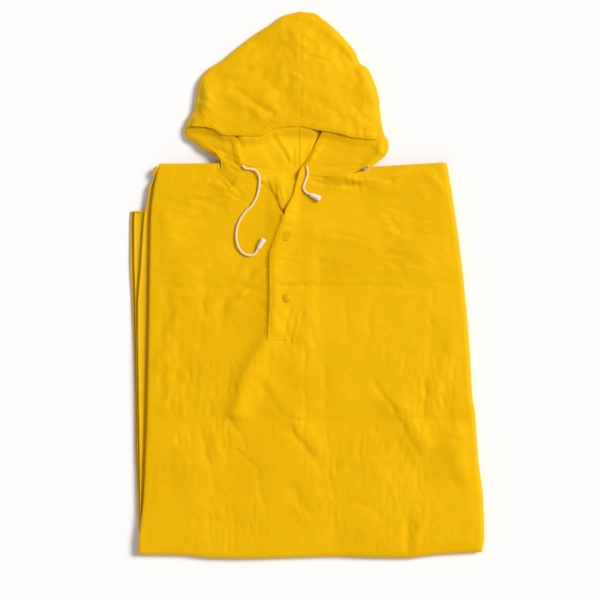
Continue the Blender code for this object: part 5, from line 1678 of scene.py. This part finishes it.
@dataclass
class Drawcord:
    """One free end of the drawcord with its bell-shaped end, in metres."""

    name: str
    route: Rows
    bell_end: Sequence[float]
    replaced: tuple[str, str]
    diameter: float = 0.004
    around: int = 20
    along_cells: int = 180
    route_cells: int = 24
    # Braid: strands each way, their turn in radians per metre, and their bulge as a share of the radius.
    strands: float = 4.0
    twist: float = 1700.0
    bulge: float = 0.055
    bell_size: Pair = (0.005, 0.020)  # radius of the mouth, length
    bell_clearance: float = 0.0005
    bell_around: int = 36
    # Rows: share of the mouth's radius, share of the length.
    bell_profile: tuple[Pair, ...] = (
        (0.0, 0.0), (0.36, 0.0), (0.50, 0.015), (0.56, 0.06), (0.60, 0.12), (0.70, 0.22), (0.80, 0.40),
        (0.88, 0.60), (0.96, 0.80), (1.00, 0.88), (0.99, 0.94), (0.90, 0.985), (0.78, 1.0), (0.68, 0.985),
        (0.62, 0.94), (0.56, 0.84), (0.42, 0.74), (0.0, 0.70))

    def centreline(self) -> list[Vector]:
        """Even points along the route."""
        cells = self.route_cells
        dense = [at_index(self.route, index / cells) for index in range(cells * (len(self.route) - 1) + 1)]
        walked = walked_lengths(dense)
        points = []
        for target in grid_values((0.0, walked[-1], self.along_cells)):
            high = min(max(bisect_left(walked, target), 1), len(walked) - 1)
            share = (target - walked[high - 1]) / (walked[high] - walked[high - 1])
            points.append(mix(dense[high - 1], dense[high], min(1.0, share)))
        return points

    def build(self) -> None:
        points = self.centreline()
        length = walked_lengths(points)[-1]
        work = bmesh.new()
        uv = work.loops.layers.uv.new("cord")
        spots = create_cells(work, self.around, self.along_cells)
        for vert, (turn, step) in spots.items():
            run = (points[min(step + 1, self.along_cells)] - points[max(step - 1, 0)]).normalized()
            side = run.cross(UP).normalized()
            angle = FULL_TURN * turn / self.around
            path = self.twist * length * step / self.along_cells
            strand = math.sin(self.strands * angle + path) * math.sin(self.strands * angle - path)
            radius = self.diameter / 2.0 * (1.0 + self.bulge * strand)
            vert.co = points[step] + (side * math.cos(angle) + side.cross(run) * math.sin(angle)) * radius
        for face in work.faces:
            for loop in face.loops:
                turn, step = spots[loop.vert]
                loop[uv].uv = (math.pi * self.diameter * turn / self.around, length * step / self.along_cells)
        weld(work, capped=True)
        cord = finish_object(self.name, work, CORD_BRAID, self.replaced[0])
        bell = self.build_bell()
        tuple(self.route[0])
        [tuple(point) for point in points]
        LOG.info("%s: %.0f mm long", self.name, length / MM)

    def build_bell(self) -> bpy.types.Object:
        """Bell-shaped end with a rolled lip and a hollow mouth."""
        work = turned(self.bell_profile, self.bell_size, self.bell_around)
        start = Vector(self.route[-1])
        direction = (Vector(self.bell_end) - start).normalized()
        turn = direction.to_track_quat("Z", "Y").to_matrix().to_4x4()
        place = Matrix.Translation(start + direction * self.bell_clearance) @ turn
        bmesh.ops.transform(work, matrix=place, verts=work.verts)
        return finish_object(f"{self.name}_bell", work, BELL_PLASTIC, self.replaced[1])


# ---- snaps and sewing
@dataclass
class Snaps:
    """The two press snaps of the placket."""

    panel: FrontPanel
    seat: float = 0.35  # height of the seat over the band
    around: int = 40
    lower: Pair = (-35.0, -23.0)
    upper: Pair = (-37.0, 86.0)
    # Rows: radius, height.
    cap_profile: tuple[Pair, ...] = ((0.0, 0.0), (7.5, 0.0), (7.95, 0.35), (8.0, 0.8), (7.8, 1.3), (7.3, 1.7),
                                     (6.6, 1.8), (6.2, 1.75), (5.6, 2.15), (4.4, 2.6), (2.6, 2.9), (0.0, 3.0))
    ring_profile: tuple[Pair, ...] = (
        (0.0, 0.0), (8.2, 0.0), (8.5, 0.3), (8.3, 0.75), (7.4, 1.0), (6.4, 0.85), (5.6, 0.5), (4.2, 0.42),
        (3.4, 0.62), (2.2, 0.8), (0.0, 0.85))

    def build_one(self, name: str, replaced: str, place: Pair, profile: Sequence[Pair]) -> None:
        """Makes one snap half on the placket."""
        work = turned(profile, (MM, MM), self.around)
        seat = self.panel.top(*place) + GAP + WALL + self.seat
        bmesh.ops.translate(work, verts=work.verts, vec=Vector((*place, seat)) * MM)
        finish_object(name, work, SNAP_PLASTIC, replaced)

    def build(self) -> None:
        """Makes both snaps."""
        self.build_one("snap_cap", "snap_cap_lower", self.lower, self.cap_profile)
        self.build_one("snap_ring", "snap_upper", self.upper, self.ring_profile)


@dataclass
class Sewing:
    """Rows of lock stitches along the placket, the hem tunnels and the hood's centre seam."""

    panel: FrontPanel
    hood: Hood
    pitch: float = 3.1
    proud: float = 0.08
    half_size: Triple = (1.24, 0.2475, 0.225)  # of a stitch along, across and up
    # Rows on the band: column and row of both ends, steps, height.
    band_rows: Rows = ((13.88, 0.4, 13.88, 13.7, 260, 0.0), (10.2, 5.3, 10.2, 13.7, 200, -0.2),
                       (12.16, 0.4, 12.16, 5.0, 90, 0.0), (10.2, 13.72, 13.88, 13.72, 50, 0.0))
    casing_rows: Pair = (0.22, 1.84)
    casing_end: float = 11.9
    crown_offset: float = 4.6
    crown_start: float = 2.15
    crown_past: float = 0.4
    casing_cells: int = 500
    crown_cells: int = 299

    def stitch_row(self, work: Mesh, path: Sequence[Vector]) -> None:
        """Lays stitches along a path of surface points.

        Args:
            work: bmesh that gets the stitches.
            path: points in millimetres, closely spaced.
        """
        size = Matrix.Diagonal((*self.half_size, 1.0))
        walked, target = 0.0, self.pitch / 2.0
        for one, two in zip(path, path[1:]):
            run = (two - one).length
            while walked + run >= target and run > 0.0:
                centre = mix(one, two, (target - walked) / run)
                turn = (two - one).normalized().to_track_quat("X", "Z").to_matrix().to_4x4()
                shape = Matrix.Translation((centre + UP * self.proud) * MM) @ turn @ size
                bmesh.ops.create_uvsphere(work, u_segments=6, v_segments=4, radius=MM, matrix=shape)
                target += self.pitch
            walked += run

    def band_path(self, column_0: float, row_0: float, column_1: float, row_1: float, steps: int,
                  lift: float) -> list[Vector]:
        """Points along one row of the band."""
        return [self.panel.band_point(mix(column_0, column_1, share), mix(row_0, row_1, share)) + UP * lift
                for share in grid_values((0.0, 1.0, steps))]

    def casing_path(self, row: float) -> list[Vector]:
        """Points along the hem tunnel over the forehead."""
        pitch, crown = self.hood.gather_pitch, self.hood.tunnel_heights[1]
        return [self.hood.crown_surface(column, row) + casing_lift(row / CASING_ROWS, column * pitch, crown)
                for column in grid_values((-self.casing_end, self.casing_end, self.casing_cells))]

    def crown_path(self, half: HoodHalf) -> list[Vector]:
        """Points beside the centre seam, on one half of the crown."""
        path = []
        for v in grid_values((self.crown_start, half.front_rows + self.crown_past, self.crown_cells)):
            width = (half.surface(1.0, v) - half.surface(0.0, v)).length
            path.append(half.surface(min(1.0, self.crown_offset / max(width, TINY)), v))
        return path

    def build(self) -> None:
        """Makes the stitches."""
        groups = {"placket_stitches": [self.band_path(*row) for row in self.band_rows],
                  "casing_stitches": [self.casing_path(row) for row in self.casing_rows],
                  "crown_seam_stitches": [self.crown_path(self.hood.left), self.crown_path(self.hood.right)]}
        for name, paths in groups.items():
            work = bmesh.new()
            for path in paths:
                self.stitch_row(work, path)
            finish_object(name, work, THREAD)


# ---- floor, light and camera
@dataclass
class Studio:
    """Pale floor, soft light and the camera straight above, in metres."""

    view_width: float = 1.05
    distance: float = 3.2
    lift: float = 0.015
    centre: Pair = (-0.01225, -0.02625)
    sensor: float = 36.0
    far: float = 20.0
    floor_z: float = -0.0004
    floor_size: float = 6.0
    white: float = 0.34  # strength of the white surroundings
    # Suns. Rows: name, direction to it, how wide it looks in degrees, watts per square metre.
    suns: tuple[tuple, ...] = (("key", (1.0, 0.48, 1.05), 22.0, 2.8), ("fill", (-0.5, -1.0, 0.7), 60.0, 0.32))

    def build_camera(self) -> None:
        """Camera that looks straight down with the garment's length up the picture."""
        data = bpy.data.cameras.new("camera")
        data.sensor_width = self.sensor
        data.lens = self.sensor * self.distance / self.view_width
        data.clip_end = self.far
        bpy.context.scene.camera = add_object("camera", data, (*self.centre, self.distance + self.lift))

    def build_floor(self) -> None:
        """Plain pale floor."""
        work = bmesh.new()
        bmesh.ops.create_grid(work, x_segments=1, y_segments=1, size=self.floor_size)
        mesh = bpy.data.meshes.new("floor")
        work.to_mesh(mesh)
        work.free()
        material = bpy.data.materials.new("pale_floor")
        nodes = Nodes(material)
        nodes.give(nodes.shader, Base_Color=(0.98, 0.98, 0.98, 1.0), Roughness=0.9)
        mesh.materials.append(material)
        add_object("floor", mesh, (0.0, 0.0, self.floor_z))

    def build_light(self) -> None:
        """White surroundings and wide soft suns without falloff."""
        scene = bpy.context.scene
        scene.world = bpy.data.worlds.new("studio")
        scene.world.use_nodes = True
        background = scene.world.node_tree.nodes["Background"]
        background.inputs["Color"].default_value = (1.0, 1.0, 1.0, 1.0)
        background.inputs["Strength"].default_value = self.white
        for name, towards, width, strength in self.suns:
            data = bpy.data.lights.new(name, "SUN")
            data.angle = math.radians(width)
            data.energy = strength
            lamp = add_object(name, data, Vector(towards) * 2.0)
            lamp.rotation_euler = Vector(towards).to_track_quat("Z", "Y").to_euler()
        scene.view_settings.view_transform = "Standard"

    def build(self) -> None:
        """Makes the studio."""
        self.build_camera()
        self.build_floor()
        self.build_light()


def main() -> None:
    """Builds the poncho piece by piece."""
    logging.basicConfig(level=logging.INFO, format="%(name)s %(message)s")
    Studio().build()
    Drawcord("drawcord_end_left", LEFT_CORD, LEFT_BELL_END, ("drawcord_left", "bell_left")).build()
    Drawcord("drawcord_end_right", RIGHT_CORD, RIGHT_BELL_END, ("drawcord_right", "bell_right")).build()
    panel = FrontPanel()
    FoldedLayers().build()
    panel.build()
    panel.build_band()
    panel.build_under_band()
    BackNeck().build()
    hood = Hood(panel)
    hood.build()
    Snaps(panel).build()
    Sewing(panel, hood).build()


if __name__ == "__main__":
    main()
